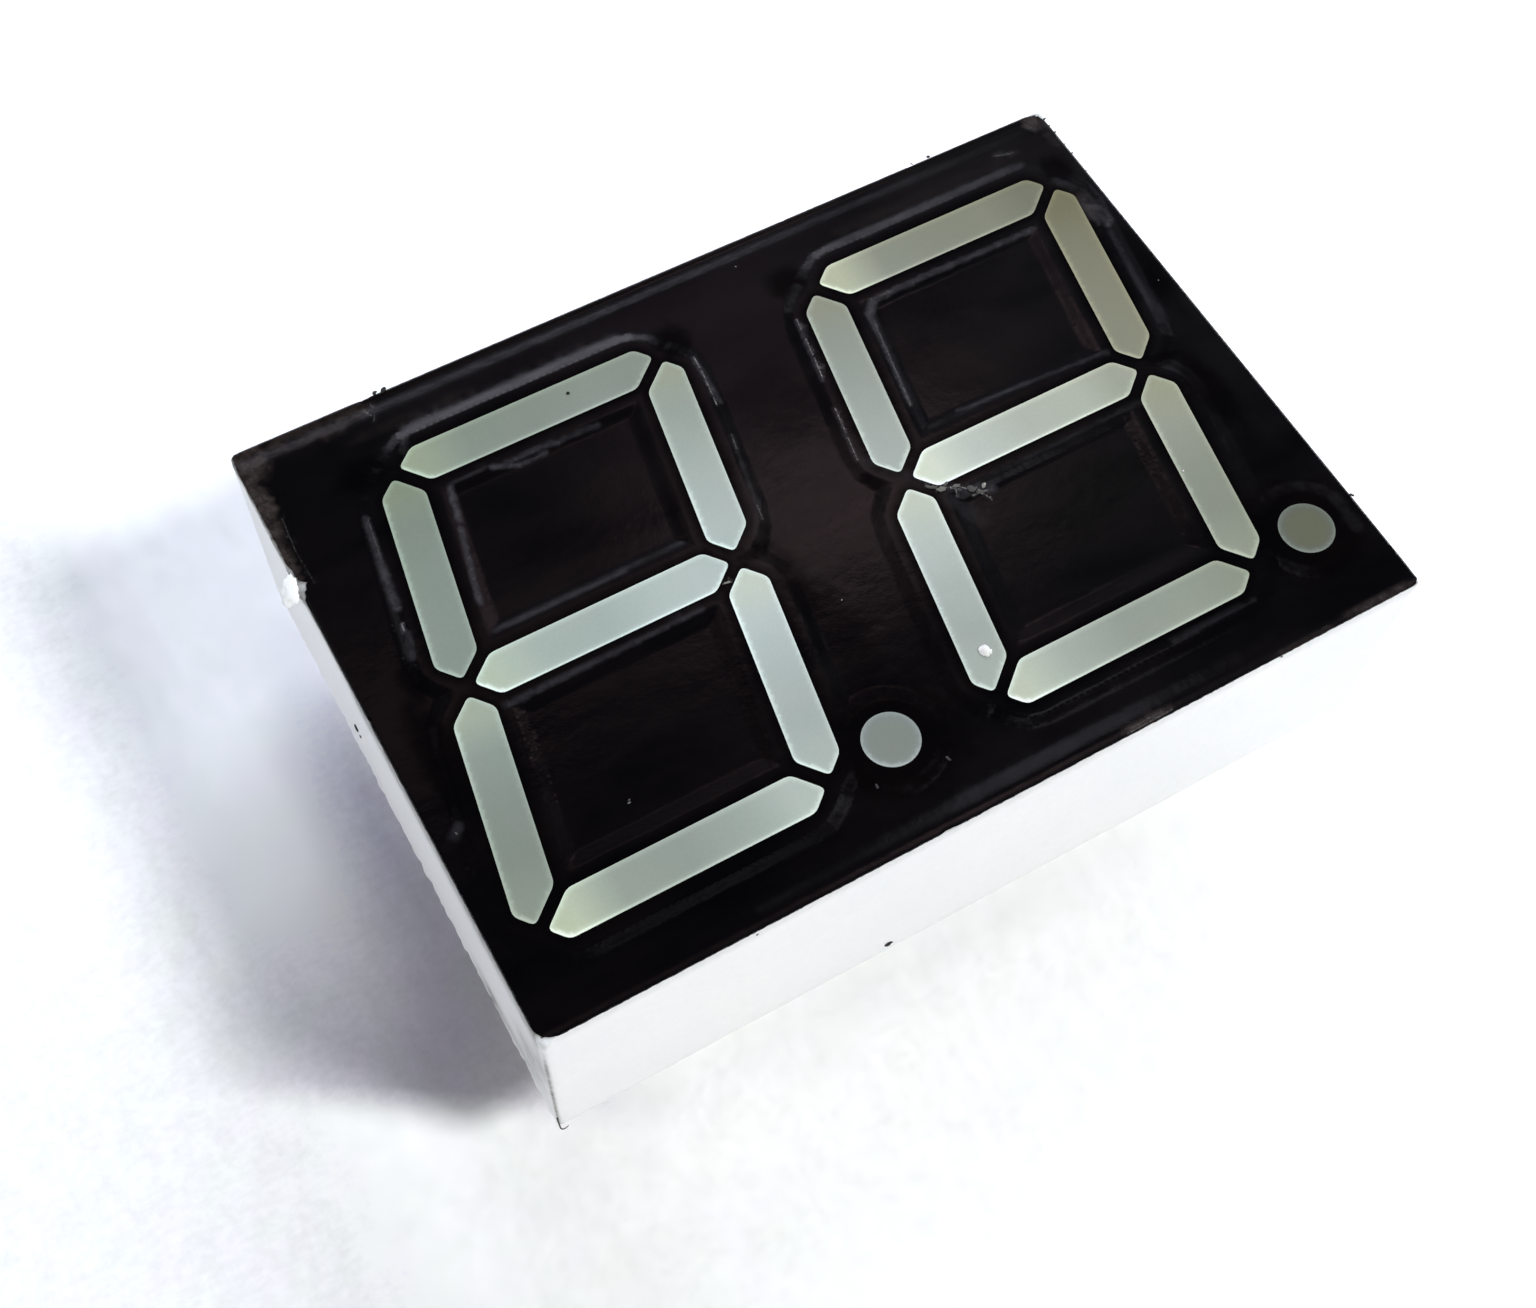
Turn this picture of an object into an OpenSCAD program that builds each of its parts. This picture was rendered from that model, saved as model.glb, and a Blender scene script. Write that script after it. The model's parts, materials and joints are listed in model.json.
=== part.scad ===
// Two-digit seven-segment LED display, 0.8 inch class, ten leads, standing on its leads.
// X runs along the width, +Y towards the top of the digits and Z out of the face.
// The origin is under the middle of the body, in the plane of the lead tips.
// All sizes are in millimetres.

/* [Body] */
// Width of the body, across the two digits
body_w = 38; // [37.4:0.2:46]
// Height of the body, along the digits
body_h = 27.2; // [26.8:0.2:34]
// Depth of the body, from the rear rim to the face
body_d = 10.5; // [8.5:0.1:13]
// Thickness of the outer walls
wall = 1.0; // [0.8:0.1:1.2]
// Thickness of the front panel
front_panel = 1.2; // [0.8:0.1:2]
// Radius of the four upright corners
corner_r = 0.25; // [0.2:0.05:0.7]
// Thickness of the black ink on the face
ink = 0.05; // [0.03:0.01:0.1]

/* [Digits] */
// Distance between the two digit centres
digit_pitch = 19.04; // [18.4:0.02:19.6]
// Height of a digit
digit_h = 21.26; // [17:0.02:21.6]
// Width of a digit, before it leans
digit_w = 13.3; // [11:0.1:13.6]
// Lean of the digits from upright, in degrees
slant = 10; // [0:1:10]
// Width of a segment
stroke = 1.75; // [1.4:0.05:2.1]
// Black gap between neighbouring segments
segment_gap = 0.52; // [0.4:0.02:0.64]
// Cut across the outer corners of a digit
digit_chamfer = 1.7; // [1.4:0.1:2]
// Rounding of a segment's own corners
segment_round = 0.22; // [0.1:0.02:0.26]
// Shift of the digits up the face, from its middle
digit_shift = -0.09; // [-0.5:0.01:0.5]
// Radius of a decimal point
point_r = 1.13; // [0.9:0.01:1.3]
// Decimal point, to the right of its digit's centre
point_x = 6.97; // [6.9:0.01:7.1]
// Decimal point, above the foot of its digit
point_y = 1.21; // [1.1:0.01:1.6]

/* [Raised lands] */
// Width of the raised land round each segment
land_margin = 0.62; // [0.62:0.01:0.8]
// Width of the slope at the edge of a land
land_slope = 0.4; // [0.2:0.05:0.5]
// Height of the lands above the rest of the face
land_h = 0.06; // [0.03:0.01:0.1]
// Rounding of the corners of a land
land_round = 0.6; // [0.4:0.05:0.65]

/* [Light funnels] */
// Thickness of the funnel walls
funnel_wall = 0.45; // [0.35:0.05:0.6]
// Length of a funnel's floor opening, along its segment
floor_length = 3.2; // [2.4:0.1:4]
// Width of a funnel's floor opening, across its segment
floor_width = 1.1; // [1.05:0.05:1.4]
// Radius of a decimal point's floor opening
floor_r = 0.75; // [0.7:0.01:0.85]

/* [Stiffening] */
// Thickness of the ribs between the funnels and the walls
rib = 0.6; // [0.4:0.1:1]
// Width of the two ledges that the board seats on
ledge = 0.5; // [0.3:0.1:0.7]
// Radius of the two board pegs
peg_r = 0.7; // [0.5:0.1:1]
// Radius of the boss behind each peg
boss_r = 1.2; // [1.1:0.1:1.6]

/* [Circuit board] */
// Thickness of the board
board_t = 1.2; // [0.8:0.1:1.6]
// Gap between the board and the walls
board_gap = 0.2; // [0.1:0.05:0.3]
// Gap between a peg and its hole
peg_gap = 0.05; // [0.02:0.01:0.1]
// Thickness of the copper
copper = 0.035; // [0.03:0.005:0.07]
// Side of a light-emitting die
die_w = 0.3; // [0.25:0.01:0.4]
// Height of a light-emitting die
die_h = 0.25; // [0.15:0.01:0.3]
// Thickness of a bond wire
wire_t = 0.04; // [0.03:0.01:0.05]
// Height of a bond wire's loop above the copper
wire_loop = 0.6; // [0.4:0.05:0.8]

/* [Leads] */
// Distance between neighbouring leads
lead_pitch = 2.54; // [2:0.01:3.06]
// Distance between the two rows of leads
row_pitch = 22.86; // [22.8:0.02:23]
// Leads in each row
leads_per_row = 5; // [5:1:5]
// Radius of a lead
lead_r = 0.25; // [0.2:0.01:0.3]
// Width of a lead's coined stretch, across the board's holes
coin_w = 0.6; // [0.54:0.01:0.64]
// Thickness of a lead's coined stretch
coin_t = 0.42; // [0.36:0.01:0.48]
// Length of lead below the rear rim
lead_out = 4.3; // [3:0.1:8]
// Length of lead above the board
lead_above = 0.4; // [0.3:0.05:0.6]
// Bevel at the lead tips
lead_bevel = 0.1; // [0.05:0.01:0.15]

/* [Rear potting] */
// Depth of the potting's surface inside the rear rim
potting_recess = 0.4; // [0.2:0.1:1]
// Thickness of the potting
potting_t = 1.4; // [1:0.1:2]

/* [Solder] */
// Least gap between a lead and its hole, filled with solder
hole_gap = 0.06; // [0.04:0.01:0.07]
// Radius of a solder joint at the underside of the board
solder_r = 0.8; // [0.6:0.05:0.9]
// Height of a solder joint below the board
solder_h = 0.85; // [0.5:0.05:0.95]
// Width of the solder crown's rim round its hole
crown_rim = 0.06; // [0.03:0.01:0.08]
// Height of the solder crown above the board
crown_h = 0.2; // [0.1:0.05:0.25]

/* [Hidden] */

LEFT = -1;
RIGHT = 1;
SEGMENTS = ["a", "b", "c", "d", "e", "f", "g"];
POINT = "point";
CELLS = concat(SEGMENTS, [POINT]);

// Levels, from the lead tips up
rear_z = lead_out;
potting_z = rear_z + potting_recess;
board_z = potting_z + potting_t;
floor_z = board_z + board_t;
face_z = rear_z + body_d;
front_z = face_z - ink;
panel_z = front_z - front_panel;
border_z = front_z - land_h;
cut = 1;

// Half sizes of a digit, and the step across a bevel that leaves the gap
half_w = digit_w / 2;
half_h = digit_h / 2;
bevel_step = segment_gap / sqrt(2);
corner_steps = 3;
land_steps = 2;

// Copper pads, die and bond wire, along each segment from its centre
die_x = -0.3;
die_pad = [0.55, 0.5];
bond_x = 0.35;
bond_pad = [0.35, 0.4];
wire_steps = 8;

coin_r = norm([coin_w, coin_t]) / 2;
hole_r = coin_r + hole_gap;
crown_r = hole_r + crown_rim;
// The solder thins out to this radius along a lead
thin_r = coin_r + hole_gap / 2;
round_fn = 48;
small_fn = 24;

// ---- Outlines ----

// A digit's outline points lean with it and move to its centre
function lean(p) = [p.x + p.y * tan(slant), p.y];
function digit_centre(side) = [side * digit_pitch / 2, digit_shift];
function on_digit(side, p) = digit_centre(side) + lean(p);

// Upper bar of an upright digit, counter-clockwise
function bar_a() = let (tip = (digit_chamfer + bevel_step) / 2, drop = (digit_chamfer - bevel_step) / 2)
    [[-half_w + stroke + bevel_step, half_h - stroke],
     [half_w - stroke - bevel_step, half_h - stroke],
     [half_w - tip, half_h - drop],
     [half_w - digit_chamfer, half_h],
     [-half_w + digit_chamfer, half_h],
     [-half_w + tip, half_h - drop]];

// Upper left bar of an upright digit, counter-clockwise
function bar_f() = let (tip = (digit_chamfer - bevel_step) / 2, drop = (digit_chamfer + bevel_step) / 2)
    [[-half_w, stroke / 2 + bevel_step],
     [-half_w + stroke / 2, bevel_step],
     [-half_w + stroke, stroke / 2 + bevel_step],
     [-half_w + stroke, half_h - stroke - bevel_step],
     [-half_w + tip, half_h - drop],
     [-half_w, half_h - digit_chamfer]];

// Middle bar of an upright digit, counter-clockwise
function bar_g() = let (end = half_w - stroke / 2 - bevel_step, shoulder = end - stroke / 2)
    [[-shoulder, -stroke / 2], [shoulder, -stroke / 2], [end, 0],
     [shoulder, stroke / 2], [-shoulder, stroke / 2], [-end, 0]];

// A mirrored outline is listed backwards, so that it stays counter-clockwise
function reversed(list) = [for (i = [len(list) - 1 : -1 : 0]) list[i]];
function flip_x(list) = reversed([for (p = list) [-p.x, p.y]]);
function flip_y(list) = reversed([for (p = list) [p.x, -p.y]]);

function bar(name) =
    name == "a" ? bar_a() :
    name == "b" ? flip_x(bar_f()) :
    name == "c" ? flip_x(flip_y(bar_f())) :
    name == "d" ? flip_y(bar_a()) :
    name == "e" ? flip_y(bar_f()) :
    name == "f" ? bar_f() : bar_g();

function is_upright(name) = len(search(name, "bcef")) > 0;

// Middle of an upright digit's bar, or of its decimal point, which leans with the digit's foot
function bar_centre(name) = let (row = (half_h - stroke / 2 + bevel_step) / 2, column = half_w - stroke / 2)
    name == "a" ? [0, half_h - stroke / 2] :
    name == "b" ? [column, row] :
    name == "c" ? [column, -row] :
    name == "d" ? [0, -half_h + stroke / 2] :
    name == "e" ? [-column, -row] :
    name == "f" ? [-column, row] : [0, 0];

function cell_centre(side, name) = name == POINT
    ? digit_centre(side) + [point_x, point_y - half_h]
    : on_digit(side, bar_centre(name));
function cell_angle(name) = is_upright(name) ? 90 - slant : 0;

// Each corner of an outline becomes a short parabola
function rounded(list, r, steps = corner_steps) = let (n = len(list))
    [for (i = [0 : n - 1]) let (
        p = list[i],
        back = list[(i + n - 1) % n] - p,
        ahead = list[(i + 1) % n] - p,
        from = p + r * back / norm(back),
        to = p + r * ahead / norm(ahead))
        for (k = [0 : steps]) let (t = k / steps)
            (1 - t) * (1 - t) * from + 2 * t * (1 - t) * p + t * t * to];

// Every edge of an outline moves out by d
function grown(list, d) = let (n = len(list))
    [for (i = [0 : n - 1]) let (
        into = list[i] - list[(i + n - 1) % n],
        out = list[(i + 1) % n] - list[i],
        normal_in = [into.y, -into.x] / norm(into),
        normal_out = [out.y, -out.x] / norm(out))
        list[i] + d * (normal_in + normal_out) / (1 + normal_in * normal_out)];

// Outline of a funnel at the face and at its floor
function window(side, name) = [for (p = bar(name)) on_digit(side, p)];
function floor_scale(name) = let (
    length = is_upright(name) ? half_h - stroke / 2 : digit_w - 2 * stroke,
    along = floor_length / length,
    across = floor_width / stroke)
    is_upright(name) ? [across, along] : [along, across];
function floor_window(side, name) = let (scale = floor_scale(name), centre = bar_centre(name))
    [for (p = bar(name)) on_digit(side, centre + [(p.x - centre.x) * scale.x, (p.y - centre.y) * scale.y])];

floor_round = segment_round / 2;

// ---- Building blocks ----

// Solid through a stack of outlines that have the same number of points
module loft(outlines, levels) {
    n = len(outlines[0]);
    top = (len(outlines) - 1) * n;
    polyhedron(
        points = [for (i = [0 : len(outlines) - 1]) for (p = outlines[i]) [p.x, p.y, levels[i]]],
        faces = concat(
            [[for (i = [0 : n - 1]) i]],
            [[for (i = [n - 1 : -1 : 0]) top + i]],
            [for (s = [0 : n : top - n]) for (i = [0 : n - 1]) [s + i, s + n + i, s + n + (i + 1) % n]],
            [for (s = [0 : n : top - n]) for (i = [0 : n - 1]) [s + i, s + n + (i + 1) % n, s + (i + 1) % n]]
        ),
        convexity = 4
    );
}

module rounded_plate(w, h, r, t) {
    linear_extrude(t) {
        square([w - 2 * r, h], center = true);
        square([w, h - 2 * r], center = true);
        for (x = [-1, 1], y = [-1, 1])
            translate([x * (w / 2 - r), y * (h / 2 - r)]) circle(r, $fn = small_fn);
    }
}

module body_plate(inset, t) {
    rounded_plate(body_w - 2 * inset, body_h - 2 * inset, max(corner_r - inset, 0.1), t);
}

// The clear space of one funnel, from below its floor to above the face
module funnel_space(side, name, top) {
    if (name == POINT)
        translate(cell_centre(side, name)) {
            translate([0, 0, floor_z]) cylinder(h = front_z - floor_z, r1 = floor_r, r2 = point_r, $fn = round_fn);
            translate([0, 0, front_z]) cylinder(h = top - front_z, r = point_r, $fn = round_fn);
        }
    else {
        lower = rounded(floor_window(side, name), floor_round);
        upper = rounded(window(side, name), segment_round);
        loft([lower, upper, upper], [floor_z, front_z, top]);
    }
}

// The outside of one funnel, from its floor to the front panel
module funnel_shell(side, name) {
    if (name == POINT)
        translate([0, 0, floor_z] + [cell_centre(side, name).x, cell_centre(side, name).y, 0])
            cylinder(h = front_z - floor_z, r1 = floor_r + funnel_wall, r2 = point_r + funnel_wall, $fn = round_fn);
    else
        loft([grown(floor_window(side, name), funnel_wall), grown(window(side, name), funnel_wall)],
             [floor_z, front_z]);
}

// The raised land round one window, between two levels and with a foot that runs on down to a third
module land(side, name, foot, low, high) {
    if (name == POINT) {
        centre = cell_centre(side, name);
        r = point_r + land_margin;
        translate([centre.x, centre.y, foot]) cylinder(h = low - foot, r = r + land_slope, $fn = round_fn);
        translate([centre.x, centre.y, low]) cylinder(h = high - low, r1 = r + land_slope, r2 = r, $fn = round_fn);
    } else {
        outline = window(side, name);
        base = rounded(grown(outline, land_margin + land_slope), land_round + land_slope, land_steps);
        crest = rounded(grown(outline, land_margin), land_round, land_steps);
        loft([base, base, crest], [foot, low, high]);
    }
}

// All the lands, kept within the edge of the face
module lands(foot, low, high) {
    intersection() {
        union() for (side = [LEFT, RIGHT]) for (name = CELLS) land(side, name, foot, low, high);
        translate([0, 0, foot - cut]) body_plate(0, high - foot + 2 * cut);
    }
}

// Children at the middle of a segment, turned along it
module at_cell(side, name, z) {
    centre = cell_centre(side, name);
    translate([centre.x, centre.y, z]) rotate(cell_angle(name)) children();
}

function lead_x(i) = (i - (leads_per_row - 1) / 2) * lead_pitch;
// Leads count along the lower row and come back along the upper row
function lead_centre(number) = number <= leads_per_row
    ? [lead_x(number - 1), -row_pitch / 2]
    : [lead_x(2 * leads_per_row - number), row_pitch / 2];

// A board peg stands in the lower loop of the left digit and the upper loop of the right digit
function peg_centre(side) = on_digit(side, [0, side * (half_h - stroke) / 2]);

// ---- Housing ----

module shell() {
    difference() {
        translate([0, 0, rear_z]) body_plate(0, border_z - rear_z);
        translate([0, 0, rear_z - cut]) body_plate(wall, panel_z - rear_z + cut);
    }
}

module board_ledges() {
    depth = panel_z - floor_z;
    for (x = [-1, 1])
        translate([x * (body_w / 2 - wall - ledge / 2), 0, floor_z + depth / 2])
            cube([ledge, body_h - 2 * wall, depth], center = true);
}

// Ribs run from the walls to the funnels in line with the middle bars, and from the bars to the long walls
module ribs() {
    depth = panel_z - floor_z;
    reach = half_w - stroke / 2;
    inner = (body_h - wall) / 2;
    for (side = [LEFT, RIGHT]) {
        outer_end = body_w / 2 - wall / 2;
        digit_end = digit_pitch / 2 + reach;
        translate([side * (outer_end + digit_end) / 2, digit_shift, floor_z + depth / 2])
            cube([outer_end - digit_end, rib, depth], center = true);
        for (bar_name = ["a", "d"]) {
            up = bar_name == "a" ? 1 : -1;
            centre = cell_centre(side, bar_name);
            from = abs(centre.y) + stroke / 2;
            translate([centre.x, up * (from + inner) / 2, floor_z + depth / 2])
                cube([rib, inner - from, depth], center = true);
        }
    }
    translate([0, digit_shift, floor_z + depth / 2])
        cube([digit_pitch - 2 * reach, rib, depth], center = true);
}

module board_pegs() {
    for (side = [LEFT, RIGHT]) {
        centre = peg_centre(side);
        translate([centre.x, centre.y, floor_z]) cylinder(h = panel_z - floor_z, r = boss_r, $fn = round_fn);
        translate([centre.x, centre.y, board_z]) cylinder(h = panel_z - board_z, r = peg_r, $fn = round_fn);
    }
}

module housing() color([0.93, 0.94, 0.95]) {
    difference() {
        union() {
            shell();
            board_ledges();
            ribs();
            board_pegs();
            for (side = [LEFT, RIGHT]) for (name = CELLS) funnel_shell(side, name);
            lands(border_z - front_panel / 2, border_z, front_z);
        }
        for (side = [LEFT, RIGHT]) for (name = CELLS) funnel_space(side, name, face_z);
    }
}

// The ink is equally thick on the lands, on their slopes and on the rest of the face
module face_print() color([0.04, 0.035, 0.045]) {
    difference() {
        union() {
            translate([0, 0, border_z]) body_plate(0, ink);
            lands(border_z + ink / 2, border_z + ink, face_z);
        }
        lands(border_z - ink, border_z, front_z);
        for (side = [LEFT, RIGHT]) for (name = CELLS) funnel_space(side, name, face_z + cut);
    }
}

// ---- Light-emitting parts ----

module die_block() {
    translate([die_x, 0, die_h / 2]) cube([die_w, die_w, die_h], center = true);
}

// Middle line of a bond wire, from the top of the die over to its pad
function wire_point(t) = let (
    start = [die_x, die_h],
    rise = [die_x, die_h + wire_loop],
    fall = [bond_x, wire_loop],
    end = [bond_x, 0])
    pow(1 - t, 3) * start + 3 * t * pow(1 - t, 2) * rise + 3 * t * t * (1 - t) * fall + pow(t, 3) * end;

function wire_edge(offset) = [for (i = [0 : wire_steps]) let (
    t = i / wire_steps,
    step = 0.5 / wire_steps,
    along = wire_point(min(t + step, 1)) - wire_point(max(t - step, 0)),
    level = i == 0 || i == wire_steps,
    side = level ? [-sign(along.y), 0] : [-along.y, along.x] / norm(along))
    wire_point(t) + offset * side];

module bond_wire() {
    rotate([90, 0, 0])
        linear_extrude(wire_t, center = true)
            polygon(concat(wire_edge(-wire_t / 2), reversed(wire_edge(wire_t / 2))));
}

module cell_pads() {
    translate([die_x, 0, copper / 2]) cube([die_pad.x, die_pad.y, copper], center = true);
    translate([bond_x, 0, copper / 2]) cube([bond_pad.x, bond_pad.y, copper], center = true);
}

// Clear epoxy with diffuser, cast in a funnel over its die
module light_plug(side, name) color([0.66, 0.71, 0.66]) {
    difference() {
        funnel_space(side, name, face_z);
        at_cell(side, name, floor_z) cell_pads();
        at_cell(side, name, floor_z + copper) {
            die_block();
            bond_wire();
        }
    }
}

module led_dies(side) color([0.78, 0.30, 0.22])
    for (name = CELLS) at_cell(side, name, floor_z + copper) die_block();

module bond_wires(side) color([0.85, 0.68, 0.30])
    for (name = CELLS) at_cell(side, name, floor_z + copper) bond_wire();

module copper_pads() color([0.80, 0.50, 0.30]) {
    for (side = [LEFT, RIGHT]) for (name = CELLS) at_cell(side, name, floor_z) cell_pads();
}

// ---- Circuit board and leads ----

module circuit_board() color([0.20, 0.42, 0.26]) {
    difference() {
        translate([0, 0, board_z]) body_plate(wall + board_gap, board_t);
        for (number = [1 : 2 * leads_per_row])
            translate([lead_centre(number).x, lead_centre(number).y, board_z - cut])
                cylinder(h = board_t + 2 * cut, r = hole_r, $fn = small_fn);
        for (side = [LEFT, RIGHT])
            translate([peg_centre(side).x, peg_centre(side).y, board_z - cut])
                cylinder(h = board_t + 2 * cut, r = peg_r + peg_gap, $fn = round_fn);
    }
}

// A lead is coined flat from the rear rim up, which grips the board's hole
module coined_stretch() {
    height = floor_z + lead_above - rear_z;
    translate([0, 0, rear_z + height / 2]) cube([coin_w, coin_t, height], center = true);
}

// Round lead with a bevelled tip
module lead(number) color([0.78, 0.79, 0.80]) {
    translate(lead_centre(number)) {
        cylinder(h = lead_bevel, r1 = lead_r - lead_bevel, r2 = lead_r, $fn = small_fn);
        translate([0, 0, lead_bevel]) cylinder(h = rear_z - lead_bevel, r = lead_r, $fn = small_fn);
        coined_stretch();
    }
}

// Solder fills the hole round a lead, with a fillet below the board and a low crown above it
module solder_fill() {
    rotate_extrude($fn = small_fn)
        polygon([[0, board_z - solder_h], [thin_r, board_z - solder_h], [solder_r, board_z], [hole_r, board_z],
                 [hole_r, floor_z], [crown_r, floor_z], [thin_r, floor_z + crown_h], [0, floor_z + crown_h]]);
}

module solder_joints() color([0.70, 0.71, 0.73]) {
    for (number = [1 : 2 * leads_per_row])
        translate(lead_centre(number)) difference() {
            solder_fill();
            coined_stretch();
        }
}

module rear_potting() color([0.84, 0.85, 0.80]) {
    difference() {
        translate([0, 0, potting_z]) body_plate(wall, potting_t);
        for (number = [1 : 2 * leads_per_row])
            translate(lead_centre(number)) {
                coined_stretch();
                solder_fill();
            }
    }
}

housing();
face_print();
light_plug(LEFT, "a");  // left_segment_a
light_plug(LEFT, "b");  // left_segment_b
light_plug(LEFT, "c");  // left_segment_c
light_plug(LEFT, "d");  // left_segment_d
light_plug(LEFT, "e");  // left_segment_e
light_plug(LEFT, "f");  // left_segment_f
light_plug(LEFT, "g");  // left_segment_g
light_plug(LEFT, POINT);  // left_decimal_point
light_plug(RIGHT, "a");  // right_segment_a
light_plug(RIGHT, "b");  // right_segment_b
light_plug(RIGHT, "c");  // right_segment_c
light_plug(RIGHT, "d");  // right_segment_d
light_plug(RIGHT, "e");  // right_segment_e
light_plug(RIGHT, "f");  // right_segment_f
light_plug(RIGHT, "g");  // right_segment_g
light_plug(RIGHT, POINT);  // right_decimal_point
circuit_board();
copper_pads();
led_dies(LEFT);  // left_led_dies
led_dies(RIGHT);  // right_led_dies
bond_wires(LEFT);  // left_bond_wires
bond_wires(RIGHT);  // right_bond_wires
lead(1);  // pin_1
lead(2);  // pin_2
lead(3);  // pin_3
lead(4);  // pin_4
lead(5);  // pin_5
lead(6);  // pin_6
lead(7);  // pin_7
lead(8);  // pin_8
lead(9);  // pin_9
lead(10);  // pin_10
solder_joints();
rear_potting();
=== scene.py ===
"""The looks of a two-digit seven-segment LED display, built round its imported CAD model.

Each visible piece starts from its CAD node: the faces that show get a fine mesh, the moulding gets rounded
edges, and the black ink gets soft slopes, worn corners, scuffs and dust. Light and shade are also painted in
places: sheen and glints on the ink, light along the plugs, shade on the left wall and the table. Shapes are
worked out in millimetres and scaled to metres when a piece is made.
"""

import json
import math

import bmesh
import bpy
import numpy as np
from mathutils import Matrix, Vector, kdtree, noise
from mathutils.geometry import delaunay_2d_cdt


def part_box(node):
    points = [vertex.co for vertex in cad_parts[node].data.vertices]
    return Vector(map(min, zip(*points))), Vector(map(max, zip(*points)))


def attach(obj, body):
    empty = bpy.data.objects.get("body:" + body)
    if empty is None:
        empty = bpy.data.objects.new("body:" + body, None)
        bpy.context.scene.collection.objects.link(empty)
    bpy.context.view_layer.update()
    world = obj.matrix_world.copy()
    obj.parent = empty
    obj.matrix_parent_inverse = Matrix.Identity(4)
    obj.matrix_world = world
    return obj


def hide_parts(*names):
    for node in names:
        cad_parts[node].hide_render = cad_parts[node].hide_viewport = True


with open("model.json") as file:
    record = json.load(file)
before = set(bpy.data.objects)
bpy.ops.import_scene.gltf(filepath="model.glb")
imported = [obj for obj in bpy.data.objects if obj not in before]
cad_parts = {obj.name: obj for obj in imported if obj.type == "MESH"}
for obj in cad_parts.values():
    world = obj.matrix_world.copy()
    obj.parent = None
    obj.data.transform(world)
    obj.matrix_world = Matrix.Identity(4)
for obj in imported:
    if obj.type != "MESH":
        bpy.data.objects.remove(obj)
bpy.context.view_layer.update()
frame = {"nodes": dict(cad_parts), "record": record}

MM = 0.001
SIDES = ("left", "right")
CELLS = ("segment_a", "segment_b", "segment_c", "segment_d", "segment_e", "segment_f", "segment_g",
         "decimal_point")
LEADS = 10

# Levels and sizes of the CAD model, in millimetres
mounts = {m["name"]: m for m in frame["record"]["mounts"]}
BODY_HIGH = np.array(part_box("housing")[1]) / MM
FACE_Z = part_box("face_print")[1].z / MM
BORDER_Z = mounts["face"]["pos_m"][2] / MM
REAR_Z = mounts["rear_rim"]["pos_m"][2] / MM
POTTING_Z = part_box("rear_potting")[0].z / MM
INK = FACE_Z - BODY_HIGH[2]
HALF = BODY_HIGH[:2]
LAND_H = FACE_Z - BORDER_Z
CORNER_R = 0.25


# ---- Numbers and points ----

def wave(x, y, z, scale=1.0, octaves=3):
    """Smooth noise from about -1 to 1, with features of about scale millimetres."""
    return noise.fractal((x / scale, y / scale, z / scale), 1.0, 2.0, octaves)


def waves(points, scale, octaves, seed=0.0):
    return np.array([wave(p[0], p[1], seed, scale, octaves) for p in points])


def lengths(rows):
    return np.linalg.norm(rows, axis=1)


def smooth(t):
    t = np.clip(t, 0.0, 1.0)
    return t * t * (3 - 2 * t)


def bell(t):
    """1 at 0, falling softly to nothing by about 2 on either side."""
    return np.exp(-np.square(t))


# ---- Meshes ----

def welded(node):
    """The node's mesh in millimetres, with its split vertices joined."""
    bm = bmesh.new()
    bm.from_mesh(frame["nodes"][node].data)
    bmesh.ops.scale(bm, vec=(1 / MM,) * 3, verts=bm.verts)
    bmesh.ops.remove_doubles(bm, verts=bm.verts, dist=1e-3)
    return bm


def faces_at(bm, level):
    return [f for f in bm.faces if all(abs(v.co.z - level) < 2e-3 for v in f.verts)]


def loops_round(faces):
    """The closed loops of vertices round a group of faces."""
    group, after = set(faces), {}
    for face in faces:
        for corner in face.loops:
            if not any(f in group for f in corner.edge.link_faces if f is not face):
                after[corner.vert] = corner.link_loop_next.vert
    loops = []
    while after:
        loop = [next(iter(after))]
        while loop[-1] in after:
            vert = after.pop(loop[-1])
            if vert is not loop[0]:
                loop.append(vert)
        loops.append(loop)
    return loops


def plan(verts):
    return np.array([(v.co.x, v.co.y) for v in verts])


def split_long(bm, loop, longest):
    """Adds vertices along a loop, so that no edge is longer, and returns the new loop."""
    out = []
    for a, b in zip(loop, loop[1:] + loop[:1]):
        out.append(a)
        for left in range(math.ceil((b.co - a.co).length / longest), 1, -1):
            _, a = bmesh.utils.edge_split(bm.edges.get((a, b)), a, 1 / left)
            out.append(a)
    return out


def steps_of(loop):
    """Each point of a closed loop with the next one."""
    return zip(loop, np.roll(loop, -1, axis=0))


def resampled(loop, longest):
    """The points of a loop, with more between them, so that no step is longer."""
    out = []
    for a, b in steps_of(loop):
        steps = max(1, math.ceil(np.linalg.norm(b - a) / longest))
        out += [a + (b - a) * k / steps for k in range(steps)]
    return np.array(out)


def inside(points, loops):
    """True for each point that lies inside an odd number of the loops."""
    odd = np.zeros(len(points), bool)
    x, y = points.T
    for loop in loops:
        for a, b in steps_of(loop):
            if a[1] != b[1]:
                crosses = (a[1] > y) != (b[1] > y)
                odd ^= crosses & (x < a[0] + (b[0] - a[0]) * (y - a[1]) / (b[1] - a[1]))
    return odd


def tree_of(points):
    """A search tree over points in the plan."""
    tree = kdtree.KDTree(len(points))
    for i, p in enumerate(points):
        tree.insert((p[0], p[1], 0), i)
    tree.balance()
    return tree


def nearest(points, loops):
    """The way from each point to the nearest of the loops, from points set closely along them."""
    along = np.concatenate([resampled(loop, 0.03) for loop in loops])
    tree = tree_of(along)
    return np.array([along[tree.find((p[0], p[1], 0))[1]] - p for p in points])


def distance(points, loops):
    return lengths(nearest(points, loops))


def past(points, loops):
    """The distance from the loops, below 0 for a point inside them."""
    return distance(points, loops) * np.where(inside(points, loops), -1, 1)


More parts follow.
